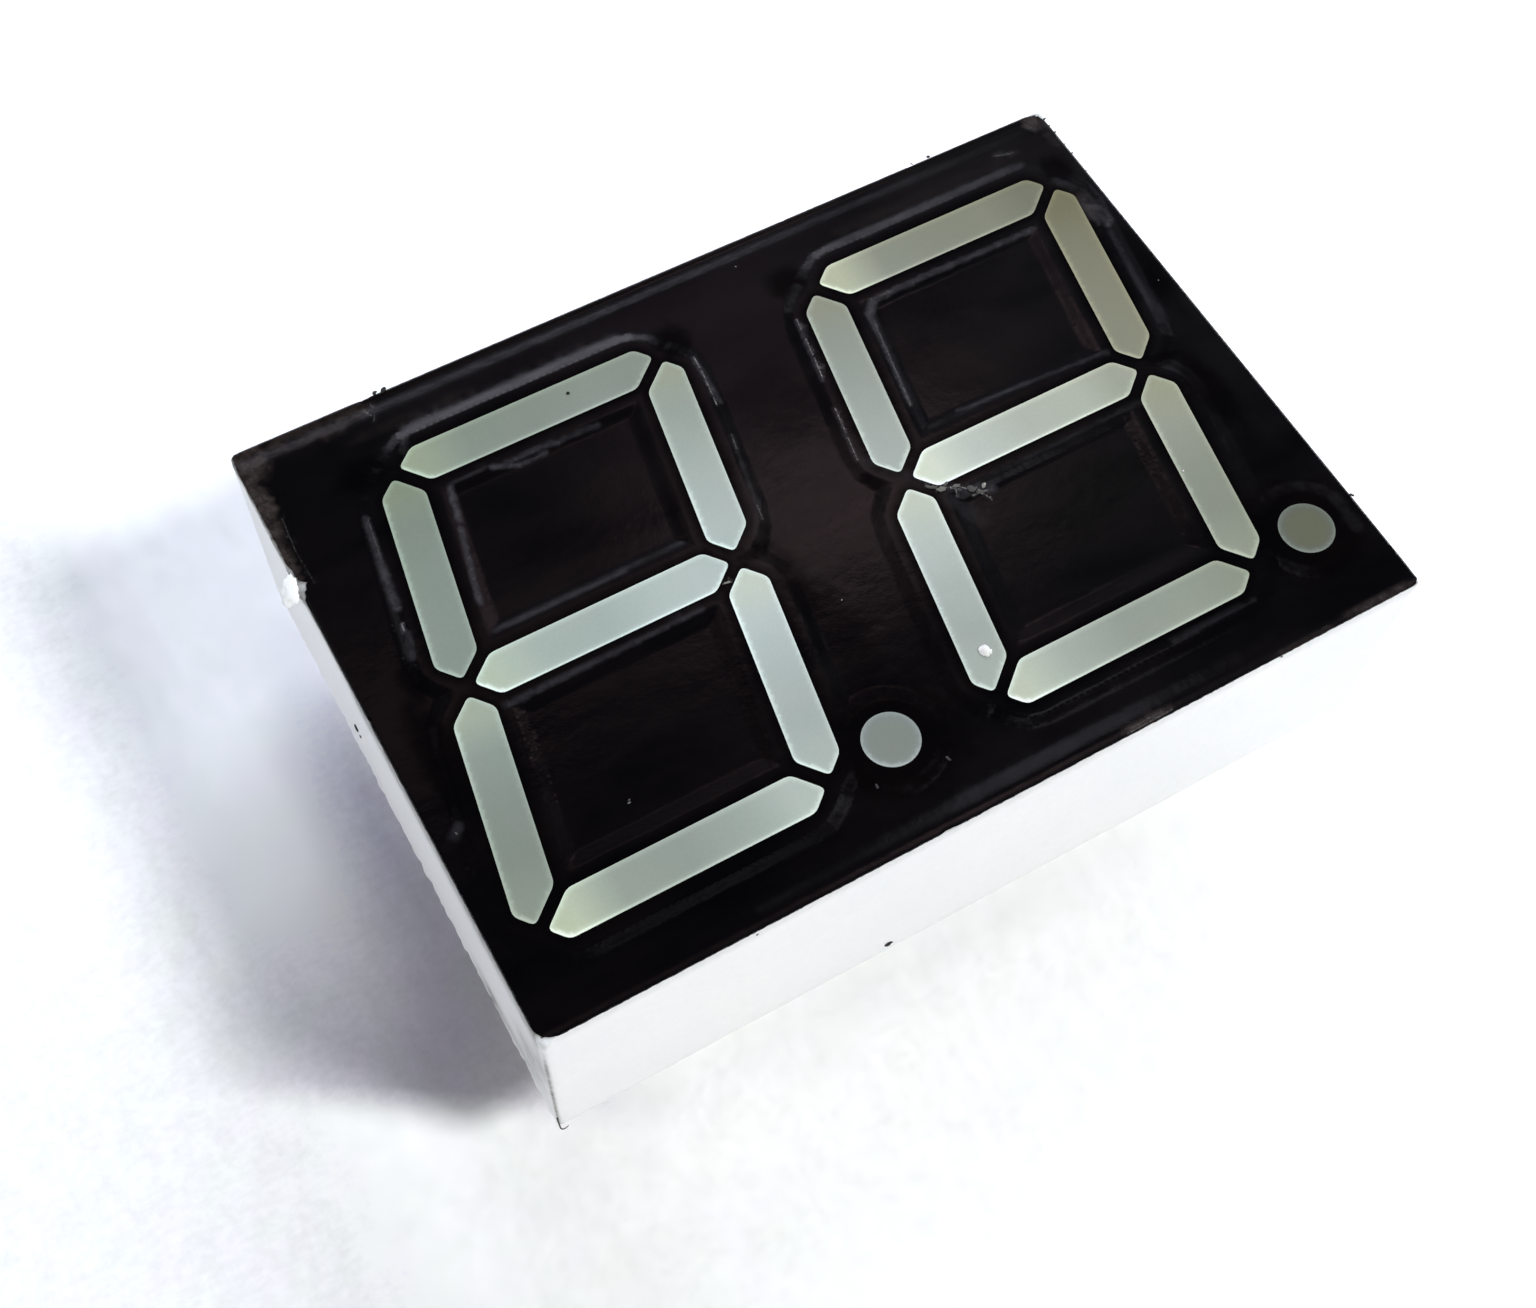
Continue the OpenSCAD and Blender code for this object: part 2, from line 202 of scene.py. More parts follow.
def hex_grid(low, high, spacing):
    rows = np.arange(low[1], high[1], spacing * math.sqrt(3) / 2)
    return np.array([(x, y) for i, y in enumerate(rows)
                     for x in np.arange(low[0] + spacing / 2 * (i % 2), high[0], spacing)])


def clear_of(points, others, gap):
    """Only the points that lie at least gap from all the others."""
    tree = tree_of(others)
    return np.array([p for p in points if tree.find((p[0], p[1], 0))[2] >= gap]).reshape(-1, 2)


def ring_edges(rings):
    """The edges along closed rings of points that are numbered one ring after the other."""
    edges, start = [], 0
    for ring in rings:
        edges += [(start + i, start + (i + 1) % len(ring)) for i in range(len(ring))]
        start += len(ring)
    return edges


def triangles_over(rings, inner):
    """Triangles between the rings and the inner points. Returns the points, with the rings' first, and the
    triangles."""
    points = np.concatenate([*rings, inner])
    corners = [Vector(p) for p in points]
    _, _, faces, source, _, _ = delaunay_2d_cdt(corners, ring_edges(rings), [], 0, 1e-6, True)
    index = [ids[0] if ids else None for ids in source]
    faces = np.array([[index[i] for i in f] for f in faces if all(index[i] is not None for i in f)])
    faces = faces[inside(points[faces].mean(axis=1), rings)]
    a, b, c = (points[faces[:, k]] for k in range(3))
    (x0, y0), (x1, y1) = (b - a).T, (c - a).T
    turn = x0 * y1 - y0 * x1
    faces[turn < 0] = faces[turn < 0][:, ::-1]
    return points, faces[np.abs(turn) > 1e-9]


def rim_points(ring, inset):
    """Points a short way inside a closed outline."""
    out = []
    for a, b in steps_of(ring):
        run = np.linalg.norm(b - a)
        side = np.array([a[1] - b[1], b[0] - a[0]]) / run * inset
        steps = math.ceil(run / (2 * inset))
        for k in range(steps):
            middle = a + (b - a) * (k + 0.5) / steps
            out += [middle + side, middle - side]
    out = np.array(out)
    return out[inside(out, [ring]) & (distance(out, [ring]) > 0.85 * inset)]


def refill(bm, loops, level, spacing, upwards=True, rim=None):
    """Fine triangles between loops of vertices at one level, with a close row inside them if a rim is given.
    Returns all their vertices."""
    rings = [plan(loop) for loop in loops]
    border = np.concatenate(rings)
    grid = hex_grid(border.min(0), border.max(0), spacing)
    grid = clear_of(grid[inside(grid, rings)], border, spacing * 0.6)
    if rim:
        row = rim_points(rings[0], rim)
        grid = np.concatenate([clear_of(grid, row, spacing * 0.4), row])
    points, faces = triangles_over(rings, grid)
    verts = [v for loop in loops for v in loop]
    verts += [bm.verts.new((p[0], p[1], level)) for p in points[len(verts):]]
    for f in faces:
        corners = [verts[i] for i in (f if upwards else f[::-1])]
        if not bm.faces.get(corners):
            bm.faces.new(corners)
    return verts


def refine_level(bm, level, spacing, upwards=True, rim=None):
    """Swaps the flat faces at a level for fine triangles. Returns their vertices and the loops round them."""
    faces = faces_at(bm, level)
    loops = [split_long(bm, loop, spacing) for loop in loops_round(faces)]
    bmesh.ops.delete(bm, geom=faces, context="FACES")
    return refill(bm, loops, level, spacing, upwards, rim), loops


def join_rings(bm, rings, ends=False):
    """Faces between closed rings of vertices, and over both ends if asked."""
    for a, b in zip(rings, rings[1:]):
        for i in range(len(a)):
            j = (i + 1) % len(a)
            bm.faces.new((a[i], b[i], b[j], a[j]))
    if ends:
        bm.faces.new(rings[0])
        bm.faces.new(rings[-1][::-1])


def added(name, data):
    """An object with this data, in the scene."""
    obj = bpy.data.objects.new(name, data)
    bpy.context.scene.collection.objects.link(obj)
    return obj


def shown(name, mesh, material):
    """A smooth object of one material, on the only body that the part has."""
    mesh.polygons.foreach_set("use_smooth", [True] * len(mesh.polygons))
    mesh.materials.append(material)
    obj = added(name, mesh)
    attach(obj, "root")
    return obj


def piece(name, bm, replaced, material, sharp):
    """Makes a piece from a mesh in millimetres. Edges past an angle in degrees stay sharp."""
    bmesh.ops.recalc_face_normals(bm, faces=bm.faces)
    bmesh.ops.delete(bm, geom=[v for v in bm.verts if not v.link_faces], context="VERTS")
    bmesh.ops.scale(bm, vec=(MM,) * 3, verts=bm.verts)
    mesh = bpy.data.meshes.new(name)
    bm.to_mesh(mesh)
    bm.free()
    for old in ("custom_normal", "sharp_face", "sharp_edge"):
        if old in mesh.attributes:
            mesh.attributes.remove(mesh.attributes[old])
    obj = shown(name, mesh, material)
    mesh.set_sharp_from_angle(angle=math.radians(sharp))
    if replaced:
        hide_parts(replaced)


# ---- Materials ----

class Nodes:
    """A shader's node tree, with short ways to add to it."""

    def __init__(self, tree):
        self.tree = tree

    def add(self, kind, inputs=None, **settings):
        node = self.tree.nodes.new("ShaderNode" + kind)
        for key, value in settings.items():
            setattr(node, key, value)
        for key, value in (inputs or {}).items():
            self.feed(node.inputs[key], value)
        return node

    def feed(self, socket, value):
        if isinstance(value, bpy.types.NodeSocket):
            self.tree.links.new(value, socket)
        elif socket.type == "RGBA":
            socket.default_value = (*value, 1)
        else:
            socket.default_value = value

    def math(self, operation, a, b):
        return self.add("Math", {0: a, 1: b}, operation=operation).outputs[0]

    def times(self, a, b):
        return self.math("MULTIPLY", a, b)

    def vector(self, operation, *inputs):
        """A vector, or the number that a length or a dot product gives."""
        node = self.add("VectorMath", dict(enumerate(inputs)), operation=operation)
        return node.outputs["Value" if operation in ("LENGTH", "DOT_PRODUCT") else "Vector"]

    def scaled(self, vector, factor):
        node = self.add("VectorMath", {0: vector, "Scale": factor}, operation="SCALE")
        return node.outputs["Vector"]

    def range(self, value, low, high, to_low=0.0, to_high=1.0, kind="LINEAR"):
        node = self.add("MapRange", {
            "Value": value, "From Min": low, "From Max": high, "To Min": to_low, "To Max": to_high},
            interpolation_type=kind)
        return node.outputs["Result"]

    def away(self, place, centre, reach):
        """How far a place lies from a centre in X and Y, as a share of the reach along each."""
        off = self.vector("SUBTRACT", place, centre)
        return self.vector("LENGTH", self.vector("MULTIPLY", off, (1 / reach[0], 1 / reach[1], 0.0)))


class Paint(Nodes):
    """A Principled material, with short ways to add what drives it."""

    def __init__(self, name, **values):
        self.material = bpy.data.materials.new(name)
        self.material.use_nodes = True
        super().__init__(self.material.node_tree)
        self.shader = self.tree.nodes["Principled BSDF"]
        self.set(**values)
        self.place = self.add("TexCoord").outputs["Object"]

    def set(self, **sockets):
        for key, value in sockets.items():
            self.feed(self.shader.inputs[key.replace("_", " ")], value)

    def attribute(self, name, output="Fac"):
        return self.add("Attribute", attribute_name=name).outputs[output]

    def stretched(self, x, y, z):
        """The place on the object, with its features drawn out along an axis by a factor below 1."""
        return self.vector("MULTIPLY", self.place, (x, y, z))

    def noise(self, size_mm, detail=3.0, roughness=0.5, place=None):
        node = self.add("TexNoise", {
            "Vector": place or self.place, "Scale": 1 / (size_mm * MM), "Detail": detail,
            "Roughness": roughness})
        return node.outputs["Fac"]

    def cells(self, size_mm):
        node = self.add("TexVoronoi", {"Vector": self.place, "Scale": 1 / (size_mm * MM)})
        return node.outputs["Distance"]

    def mix(self, factor, a, b, blend="MIX"):
        node = self.add("Mix", data_type="RGBA", blend_type=blend)
        self.feed(node.inputs["Factor"], factor)
        self.feed(node.inputs[6], a)
        self.feed(node.inputs[7], b)
        return node.outputs[2]

    def bumps(self, *layers):
        """Bumps on top of each other, from the lowest. Each is a height, its reach in mm and its strength."""
        below = {}
        for height, reach_mm, strength in layers:
            below.update({"Height": height, "Distance": reach_mm * MM, "Strength": strength})
            below = {"Normal": self.add("Bump", below).outputs["Normal"]}
        self.set(**below)


def white_plastic():
    """Satin moulded polycarbonate, with a fine grain, faint flow marks, and the grime and painted shade
    that its mesh gives.
    """
    p = Paint("white_plastic", IOR=1.5)
    cloud = p.noise(7.0, 4.0)
    grain = p.noise(0.35, 3.0)
    speck = p.range(p.noise(0.16, 2.0), 0.68, 0.74)
    base = p.mix(p.range(cloud, 0.35, 0.7), (0.89, 0.90, 0.91), (0.93, 0.935, 0.93))
    base = p.mix(p.range(grain, 0.3, 0.8, 0.0, 0.5), base, (0.86, 0.87, 0.88))
    # Grime, and painted shade on the left wall, darken the moulding
    grime_and_shade = p.attribute("grime_and_shade")
    base = p.mix(p.times(speck, grime_and_shade), base, (0.10, 0.09, 0.08))
    grime_and_shade = p.times(grime_and_shade, p.range(grain, 0.3, 0.7, 0.65, 1.0))
    base = p.mix(grime_and_shade, base, (0.14, 0.135, 0.12))
    p.set(Base_Color=base, Roughness=p.range(grain, 0.3, 0.7, 0.36, 0.5))
    p.bumps((cloud, 0.08, 1), (grain, 0.006, 1))
    return p.material


def black_ink():
    """Glossy black printing ink. It is browner and duller where it is worn and where sheen is painted in,
    paler along bands of painted sheen, and chipped spots and painted glints show grey.
    """
    p = Paint("black_ink", IOR=1.5)
    streak = p.noise(2.2, 4.0, 0.55, p.stretched(0.35, 1.0, 1.0))
    peel = p.noise(0.5, 2.0)
    fine = p.noise(0.09, 3.0)
    flake = p.noise(0.5, 4.0, 0.6)
    base = p.mix(p.range(streak, 0.35, 0.68), (0.0011, 0.0010, 0.0014), (0.0026, 0.0018, 0.0020))
    # Painted sheen: paler, duller bluish bands along the lands
    painted_sheen = p.times(p.attribute("painted_sheen"), p.range(flake, 0.38, 0.60, 0.55, 1.0))
    base = p.mix(painted_sheen, base, (0.036, 0.034, 0.039))
    # Wear and painted sheen: browner, duller ink in patches
    worn = p.times(p.attribute("worn"), p.range(flake, 0.34, 0.62, 0.2, 1.0))
    base = p.mix(worn, base, (0.034, 0.023, 0.020))
    # Scuffs and painted glints: pale grey marks on the lands' crests
    scuff_and_glint = p.times(p.attribute("scuff_and_glint"), p.range(fine, 0.40, 0.60, 0.15, 1.0))
    base = p.mix(scuff_and_glint, base, (0.30, 0.28, 0.27))
    dull = p.times(p.math("ADD", worn, painted_sheen), 0.22)
    p.set(Base_Color=base, Roughness=p.math("ADD", p.range(streak, 0.3, 0.7, 0.10, 0.16), dull))
    p.set(Specular_IOR_Level=p.range(p.attribute("shaded"), 0.0, 1.0, 0.5, 0.06))
    p.bumps((streak, 0.007, 1), (peel, 0.006, 0.8), (fine, 0.002, 0.6))
    return p.material


def milky_epoxy():
    """Diffused grey-green epoxy. The tone along each plug, with its painted light and shade, comes with its
    mesh.
    """
    p = Paint("milky_epoxy", IOR=1.52)
    cloud = p.noise(1.6, 3.0)
    grain = p.noise(0.12, 2.0)
    tone = p.attribute("tone", "Color")
    base = p.mix(p.range(cloud, 0.3, 0.75, 0.0, 0.5), tone, (0.86, 0.93, 0.90), "MULTIPLY")
    base = p.mix(p.range(grain, 0.25, 0.8, 0.0, 0.35), base, (0.80, 0.84, 0.82), "MULTIPLY")
    p.set(Base_Color=base, Roughness=p.range(cloud, 0.3, 0.7, 0.42, 0.55))
    p.bumps((cloud, 0.01, 1), (grain, 0.003, 0.5))
    return p.material


def cast_potting():
    """Milky casting epoxy with faint clouds and fine bubbles."""
    p = Paint("cast_potting", IOR=1.53)
    cloud = p.noise(3.0, 4.0)
    bubble = p.range(p.cells(0.45), 0.0, 0.16, 1.0, 0.0)
    base = p.mix(p.range(cloud, 0.3, 0.7), (0.58, 0.59, 0.50), (0.70, 0.71, 0.64))
    base = p.mix(p.times(bubble, 0.35), base, (0.80, 0.81, 0.76))
    p.set(Base_Color=base, Roughness=p.range(cloud, 0.3, 0.7, 0.14, 0.26))
    p.bumps((cloud, 0.05, 1), (bubble, 0.01, 0.4))
    return p.material


def metal(name, colour, dull, streak_axis, rough=(0.2, 0.38)):
    """Drawn or plated metal with streaks along an axis and duller patches."""
    p = Paint(name, Metallic=1.0)
    axis = [0.12 if axis == streak_axis else 1.0 for axis in "xyz"]
    streak = p.noise(0.05, 3.0, 0.6, p.stretched(*axis))
    patch = p.noise(0.6, 3.0)
    base = p.mix(p.range(patch, 0.35, 0.75, 0.0, 0.5), colour, dull)
    base = p.mix(p.range(streak, 0.45, 0.8, 0.0, 0.3), base, dull)
    p.set(Base_Color=base, Roughness=p.range(patch, 0.3, 0.7, *rough))
    p.bumps((patch, 0.01, 1), (streak, 0.003, 0.6))
    return p.material


def glass_fibre():
    """Green solder-masked laminate with its weave showing faintly."""
    p = Paint("glass_fibre", IOR=1.5, Coat_Weight=0.3)
    look = {"Vector": p.place, "Scale": 900.0, "Distortion": 1.5}
    weave = [p.add("TexWave", look, bands_direction=axis).outputs["Fac"] for axis in "XY"]
    both = p.times(*weave)
    p.set(Base_Color=p.mix(both, (0.035, 0.16, 0.06), (0.05, 0.22, 0.085)))
    p.set(Roughness=p.range(both, 0, 1, 0.3, 0.45))
    p.bumps((both, 0.01, 0.5))
    return p.material


def crystal():
    """Red-orange light-emitting crystal with a fine mottle."""
    p = Paint("crystal", IOR=1.6)
    spots = p.cells(0.05)
    p.set(Base_Color=p.mix(spots, (0.42, 0.08, 0.04), (0.62, 0.22, 0.10)))
    p.set(Roughness=p.range(spots, 0, 1, 0.12, 0.3))
    p.bumps((spots, 0.002, 0.5))
    return p.material


def lint():
    """Dust and lint, in the tone that comes with the mesh."""
    p = Paint("lint", Roughness=0.8)
    fuzz = p.noise(0.03, 3.0)
    dusty = p.range(fuzz, 0.3, 0.8, 0.0, 0.6)
    p.set(Base_Color=p.mix(dusty, p.attribute("tone", "Color"), (0.5, 0.5, 0.5), "MULTIPLY"))
    p.bumps((fuzz, 0.01, 1))
    return p.material


# ---- The edge of the body, seen from above ----

# What lies nearer than this to the body's outline is on it
EDGE_NEAR = 0.01
# Radii of the body's upper and rear edges, and how far inside the outline the skin's flat ends reach
EDGE_R = 0.06
REAR_R = 0.14
FLAT_IN = (0.34, 0.30)


def perimeter(step):
    """Points round the body: the corner centre or run that each belongs to, and its direction outwards."""
    centre = HALF - CORNER_R
    corner_steps = 8
    corners = [centre * sign for sign in ((1, -1), (1, 1), (-1, 1), (-1, -1))]
    feet, ways = [], []
    for k, here in enumerate(corners):
        start = 90 * (k - 1)
        for a in np.radians(start + 90 * np.arange(corner_steps + 1) / corner_steps):
            feet.append(here)
            ways.append((math.cos(a), math.sin(a)))
        ahead = corners[(k + 1) % 4]
        steps = math.ceil(np.linalg.norm(ahead - here) / step)
        for i in range(1, steps):
            feet.append(here + (ahead - here) * i / steps)
            ways.append(ways[-1])
    return np.array(feet), np.array(ways)


def edge_distance(points):
    """How far inside the body's outline each point lies."""
    q = np.abs(points) - (HALF - CORNER_R)
    outside = lengths(np.maximum(q, 0))
    return CORNER_R - outside - np.minimum(np.max(q, axis=1), 0)


# Damage along the body's upper edge: x, y, radius, and how far the ink is worn back, in millimetres
EDGE_WEAR = [
    (-19.0, 6.8, 0.45, 0.4), (-19.0, 7.6, 0.3, 0.12), (-19.0, 13.2, 0.5, 0.1), (-19.0, 11.0, 1.2, 0.06),
    (-19.0, 9.0, 1.0, 0.08), (-19.0, -13.6, 0.45, 0.3), (-19.0, 0.3, 0.2, 0.06), (19.0, 13.6, 0.5, 0.2),
    (19.0, -13.6, 0.2, 0.1), (-13.3, 13.6, 0.35, 0.08), (12.4, 13.6, 0.3, 0.05), (-2.5, -13.6, 0.3, 0.05),
    (6.0, 13.6, 0.2, 0.05),
]


def wear_near(points):
    """For each place of damage: how near it each point lies, from 0 to 1, and how deep the damage is."""
    for x, y, radius, depth in EDGE_WEAR:
        yield np.exp(-np.square(points - [x, y]).sum(axis=1) / radius ** 2), depth


def worn_back(points):
    """How far the ink's edge stands back from the body's edge at each point."""
    back = 0.01 + 0.016 * waves(points, 0.5, 4) + 0.012 * waves(points, 0.14, 2, 9.0)
    ragged = 0.8 + 0.5 * waves(points, 0.2, 2, 4.0)
    for near, depth in wear_near(points):
        back += depth * near * ragged
    return np.maximum(back, 0.003)


def edge_drop(inset):
    """How far the rounded edge has dropped at a distance inside the outline."""
    t = np.clip(1 - inset / EDGE_R, 0, 1)
    return EDGE_R * (1 - np.sqrt(1 - np.minimum(t, 0.995) ** 2))


def border_dip(points):
    """How deep the shallow sinks are that run along the face's long edges."""
    y = points[:, 1]
    low = smooth((-12.45 - y) / 0.8) - 0.7 * smooth((-13.2 - y) / 0.4)
    high = smooth((y - 12.5) / 0.8) - 0.7 * smooth((y - 13.2) / 0.4)
    return 0.03 * low + 0.042 * high


# ---- Housing ----

# Patches of painted shade on the left wall, mostly low at its near end where it mirrors the deepest shadow
# on the table: y, z, half width, half height and strength
WALL_PAINTED_SHADE = [
    (-12.0, 8.8, 1.1, 2.2, 0.52), (-8.0, 5.4, 1.1, 0.9, 0.62), (-10.0, 5.9, 2.2, 0.9, 0.5),
    (2.6, 5.6, 0.5, 0.8, 0.12), (-13.2, 11.0, 0.6, 1.8, 0.4),
]


def housing_profile(top):
    """Inset and level of each ring of the moulding's outer skin, from its border down to its rear rim."""
    upper = [(EDGE_R * (1 - math.sin(a)), top - EDGE_R * (1 - math.cos(a)))
             for a in np.radians([0, 15, 30, 45, 60, 75, 90])]
    walls = [(0.0, z) for z in np.linspace(top - EDGE_R, REAR_Z + REAR_R, 14)[1:-1]]
    lower = [(REAR_R * (1 - math.cos(a)), REAR_Z + REAR_R * (1 - math.sin(a)))
             for a in np.radians([0, 22.5, 45, 67.5, 90])]
    return [(FLAT_IN[0], top), *upper, *walls, *lower, (FLAT_IN[1], REAR_Z)]


def skin_shift(points, z, depth):
    """How far out the skin lies at each point: long waves, ragged edges, a crumbly left foot and burrs."""
    if depth <= 0:
        return np.zeros(len(points))
    ragged = 0.012 if depth < 0.3 or z < REAR_Z + 0.2 else 0.003
    shift = 0.012 * waves(points, 6.0, 3, z) + ragged * waves(points, 0.5, 3, z)
    if z < REAR_Z + 0.5:
        shift += np.where(points[:, 0] < -18.8, 0.08 * waves(points, 0.5, 4, 7.0), 0.0)
    burr = 0.45 * bell(depth / 0.7) * (0.5 + waves(points, 0.25, 2, z))
    for near, worn in wear_near(points):
        shift += worn * near * burr
    return shift


def wall_grime_and_shade(x, y, z, depth):
    """Grime and painted shade on the moulding, from 0 to 1: grime under the ink and at the top of the left
    wall, a dark line down the near corner, and painted shade on the left wall, which grows darker towards its
    near end and has patches low at that end.
    """
    on_left = smooth((-18.7 - x) / 0.2)
    to_corner = math.hypot(x + HALF[0] - 0.07, y + HALF[1] - 0.07)
    patch = 0.75 + 0.5 * wave(y, z, 0.0, 2.5)
    reach = 0.18 + 0.20 * smooth((10.0 - y) / 2.0) + 0.72 * smooth((3.5 - y) / 2.5)
    fringe = (1.2 + 0.6 * wave(y, z, 5.0, 0.7)) * bell(depth / reach)
    fringe *= (1 - 0.6 * smooth((y - 10.5) / 1.5)) * (1 - 0.85 * bell(to_corner / 0.5))
    under_edge = 0.5 * math.exp(-depth / 0.10) * (1 - 0.8 * bell(to_corner / 0.9))
    dirt_and_shade = under_edge + on_left * (fringe + 0.15 * patch * math.exp(-depth / 0.7))
    # Painted shade: the left wall grows darker towards its near end
    dirt_and_shade += 0.03 * on_left * smooth((8.0 - y) / 6.0)
    ragged = 1 + 0.4 * wave(y, z, 3.0, 0.8)
    # Painted shade in patches, low on the left wall's near end
    for at_y, at_z, width, height, strength in WALL_PAINTED_SHADE:
        dirt_and_shade += on_left * strength * ragged * bell((y - at_y) / width) * bell((z - at_z) / height)
    corner_line = bell(to_corner / 0.06) * smooth((depth - 0.9) / 1.6)
    dirt_and_shade += corner_line * (0.9 + 0.8 * wave(0.0, 0.0, z, 0.5))
    return min(max(dirt_and_shade, 0.0), 1.0)


def build_housing(material):
    """The CAD moulding, with its outer skin in a fine mesh that has rounded edges and slight waves."""
    bm = welded("housing")
    grime_and_shade = bm.verts.layers.float.new("grime_and_shade")
    top = BORDER_Z - INK
    on_edge = lambda verts: edge_distance(plan(verts)).max() < EDGE_NEAR
    outer = [f for f in bm.faces if abs(f.normal.z) < 0.01 and on_edge(f.verts)]
    rim, border = faces_at(bm, REAR_Z), faces_at(bm, top)
    inner_rim, inner_border = ([split_long(bm, loop, 0.3) for loop in loops_round(faces) if not on_edge(loop)]
                               for faces in (rim, border))
    bmesh.ops.delete(bm, geom=outer + rim + border, context="FACES")

    centres, normals = perimeter(0.2)
    rings = []
    for inset, z in housing_profile(top):
        points = centres + normals * max(CORNER_R - inset, 0.02)
        points += normals * skin_shift(points, z, top - z)[:, None]
        rings.append([bm.verts.new((p[0], p[1], z)) for p in points])
    join_rings(bm, rings)
    refill(bm, [rings[0]] + inner_border, top, 0.5)
    refill(bm, [rings[-1]] + inner_rim, REAR_Z, 0.4, upwards=False)
    for v, dip in zip(bm.verts, border_dip(plan(bm.verts))):
        depth = max(0.0, top - v.co.z)
        v.co.z -= dip * max(0.0, 1 - depth / 0.5)
        v[grime_and_shade] = wall_grime_and_shade(*v.co, depth)
    piece("housing_moulding", bm, "housing", material, 40)


# ---- Black ink on the face ----

# Pale marks on the crests of the lands, partly scuffs and partly painted glints where the crests catch light:
# x, y of both ends, and how strongly each marks the ink
SCUFFS_AND_GLINTS = [
    (-0.67, 9.1, -0.7, 8.55, 0.9), (-0.72, 8.3, -0.9, 7.1, 0.7), (-0.93, 6.95, -0.98, 6.6, 1.0),
    (-1.17, 5.0, -1.3, 4.4, 0.35), (-1.9, 1.7, -2.0, 1.0, 0.4), (3.96, 8.74, 3.86, 8.2, 0.6),
    (3.8, 7.7, 3.66, 6.95, 0.9), (3.62, 6.7, 3.42, 5.7, 1.0), (3.1, 4.15, 2.9, 3.0, 0.8),
    (2.84, 2.7, 2.64, 1.65, 0.55), (-15.42, 8.3, -15.72, 6.4, 0.25), (-16.22, 3.5, -16.26, 3.2, 0.9),
    (-13.42, 13.02, -13.36, 12.8, 0.8), (-13.08, 13.28, -13.1, 13.1, 0.6), (-13.2, 12.6, -13.28, 12.5, 0.5),
    (6.7, 7.0, 6.1, 4.0, 0.35), (6.05, 3.7, 5.87, 2.9, 0.5), (7.1, 8.2, 8.2, 8.14, 0.3),
    (-4.8, -0.78, -4.46, -0.86, 0.9), (15.9, 12.3, 16.6, 12.1, 0.25), (5.3, -13.5, 7.3, -13.48, 0.35),
    (5.6, -13.38, 6.9, -13.36, 0.25), (4.45, -0.75, 4.7, -0.95, 1.0), (5.0, -1.1, 5.5, -1.5, 0.8),
    (-18.3, 9.9, -18.42, 8.4, 0.16), (-18.42, 8.3, -18.36, 6.75, 0.1), (5.5, -1.35, 5.9, -1.75, 0.9),
    (5.8, -1.95, 6.4, -2.0, 1.0), (6.1, -1.7, 6.3, -2.3, 0.8), (5.2, -1.7, 5.4, -1.3, 0.7),
]
# Their half width, and how far they stand up
SCUFF_AND_GLINT_W = 0.035
SCUFF_AND_GLINT_H = 0.006

# Dulled, browner patches, partly wear and partly painted sheen, such as the broad patch between the digits
# and
# the bands along the top and front edges: x, y, half width, half height and strength
WEAR_AND_SHEEN_PATCHES = [
    (-18.6, 13.0, 0.95, 1.2, 0.75), (-18.85, 10.8, 0.55, 1.7, 0.9), (-18.9, 8.4, 0.28, 1.7, 0.8),
    (-15.5, 13.1, 2.4, 0.6, 0.45), (18.62, 13.2, 0.6, 0.58, 0.8), (18.72, 12.2, 0.25, 0.8, 0.4),
    (17.9, 8.2, 0.5, 0.9, 0.35), (0.3, 0.5, 4.5, 3.2, 0.14), (16.9, -13.45, 2.1, 0.14, 0.7),
    (13.6, -13.5, 1.7, 0.1, 0.5), (6.2, -13.38, 1.1, 0.2, 0.8), (-12.0, 11.9, 3.5, 0.3, 0.12),
    (12.0, 11.9, 4.5, 0.35, 0.12),
]
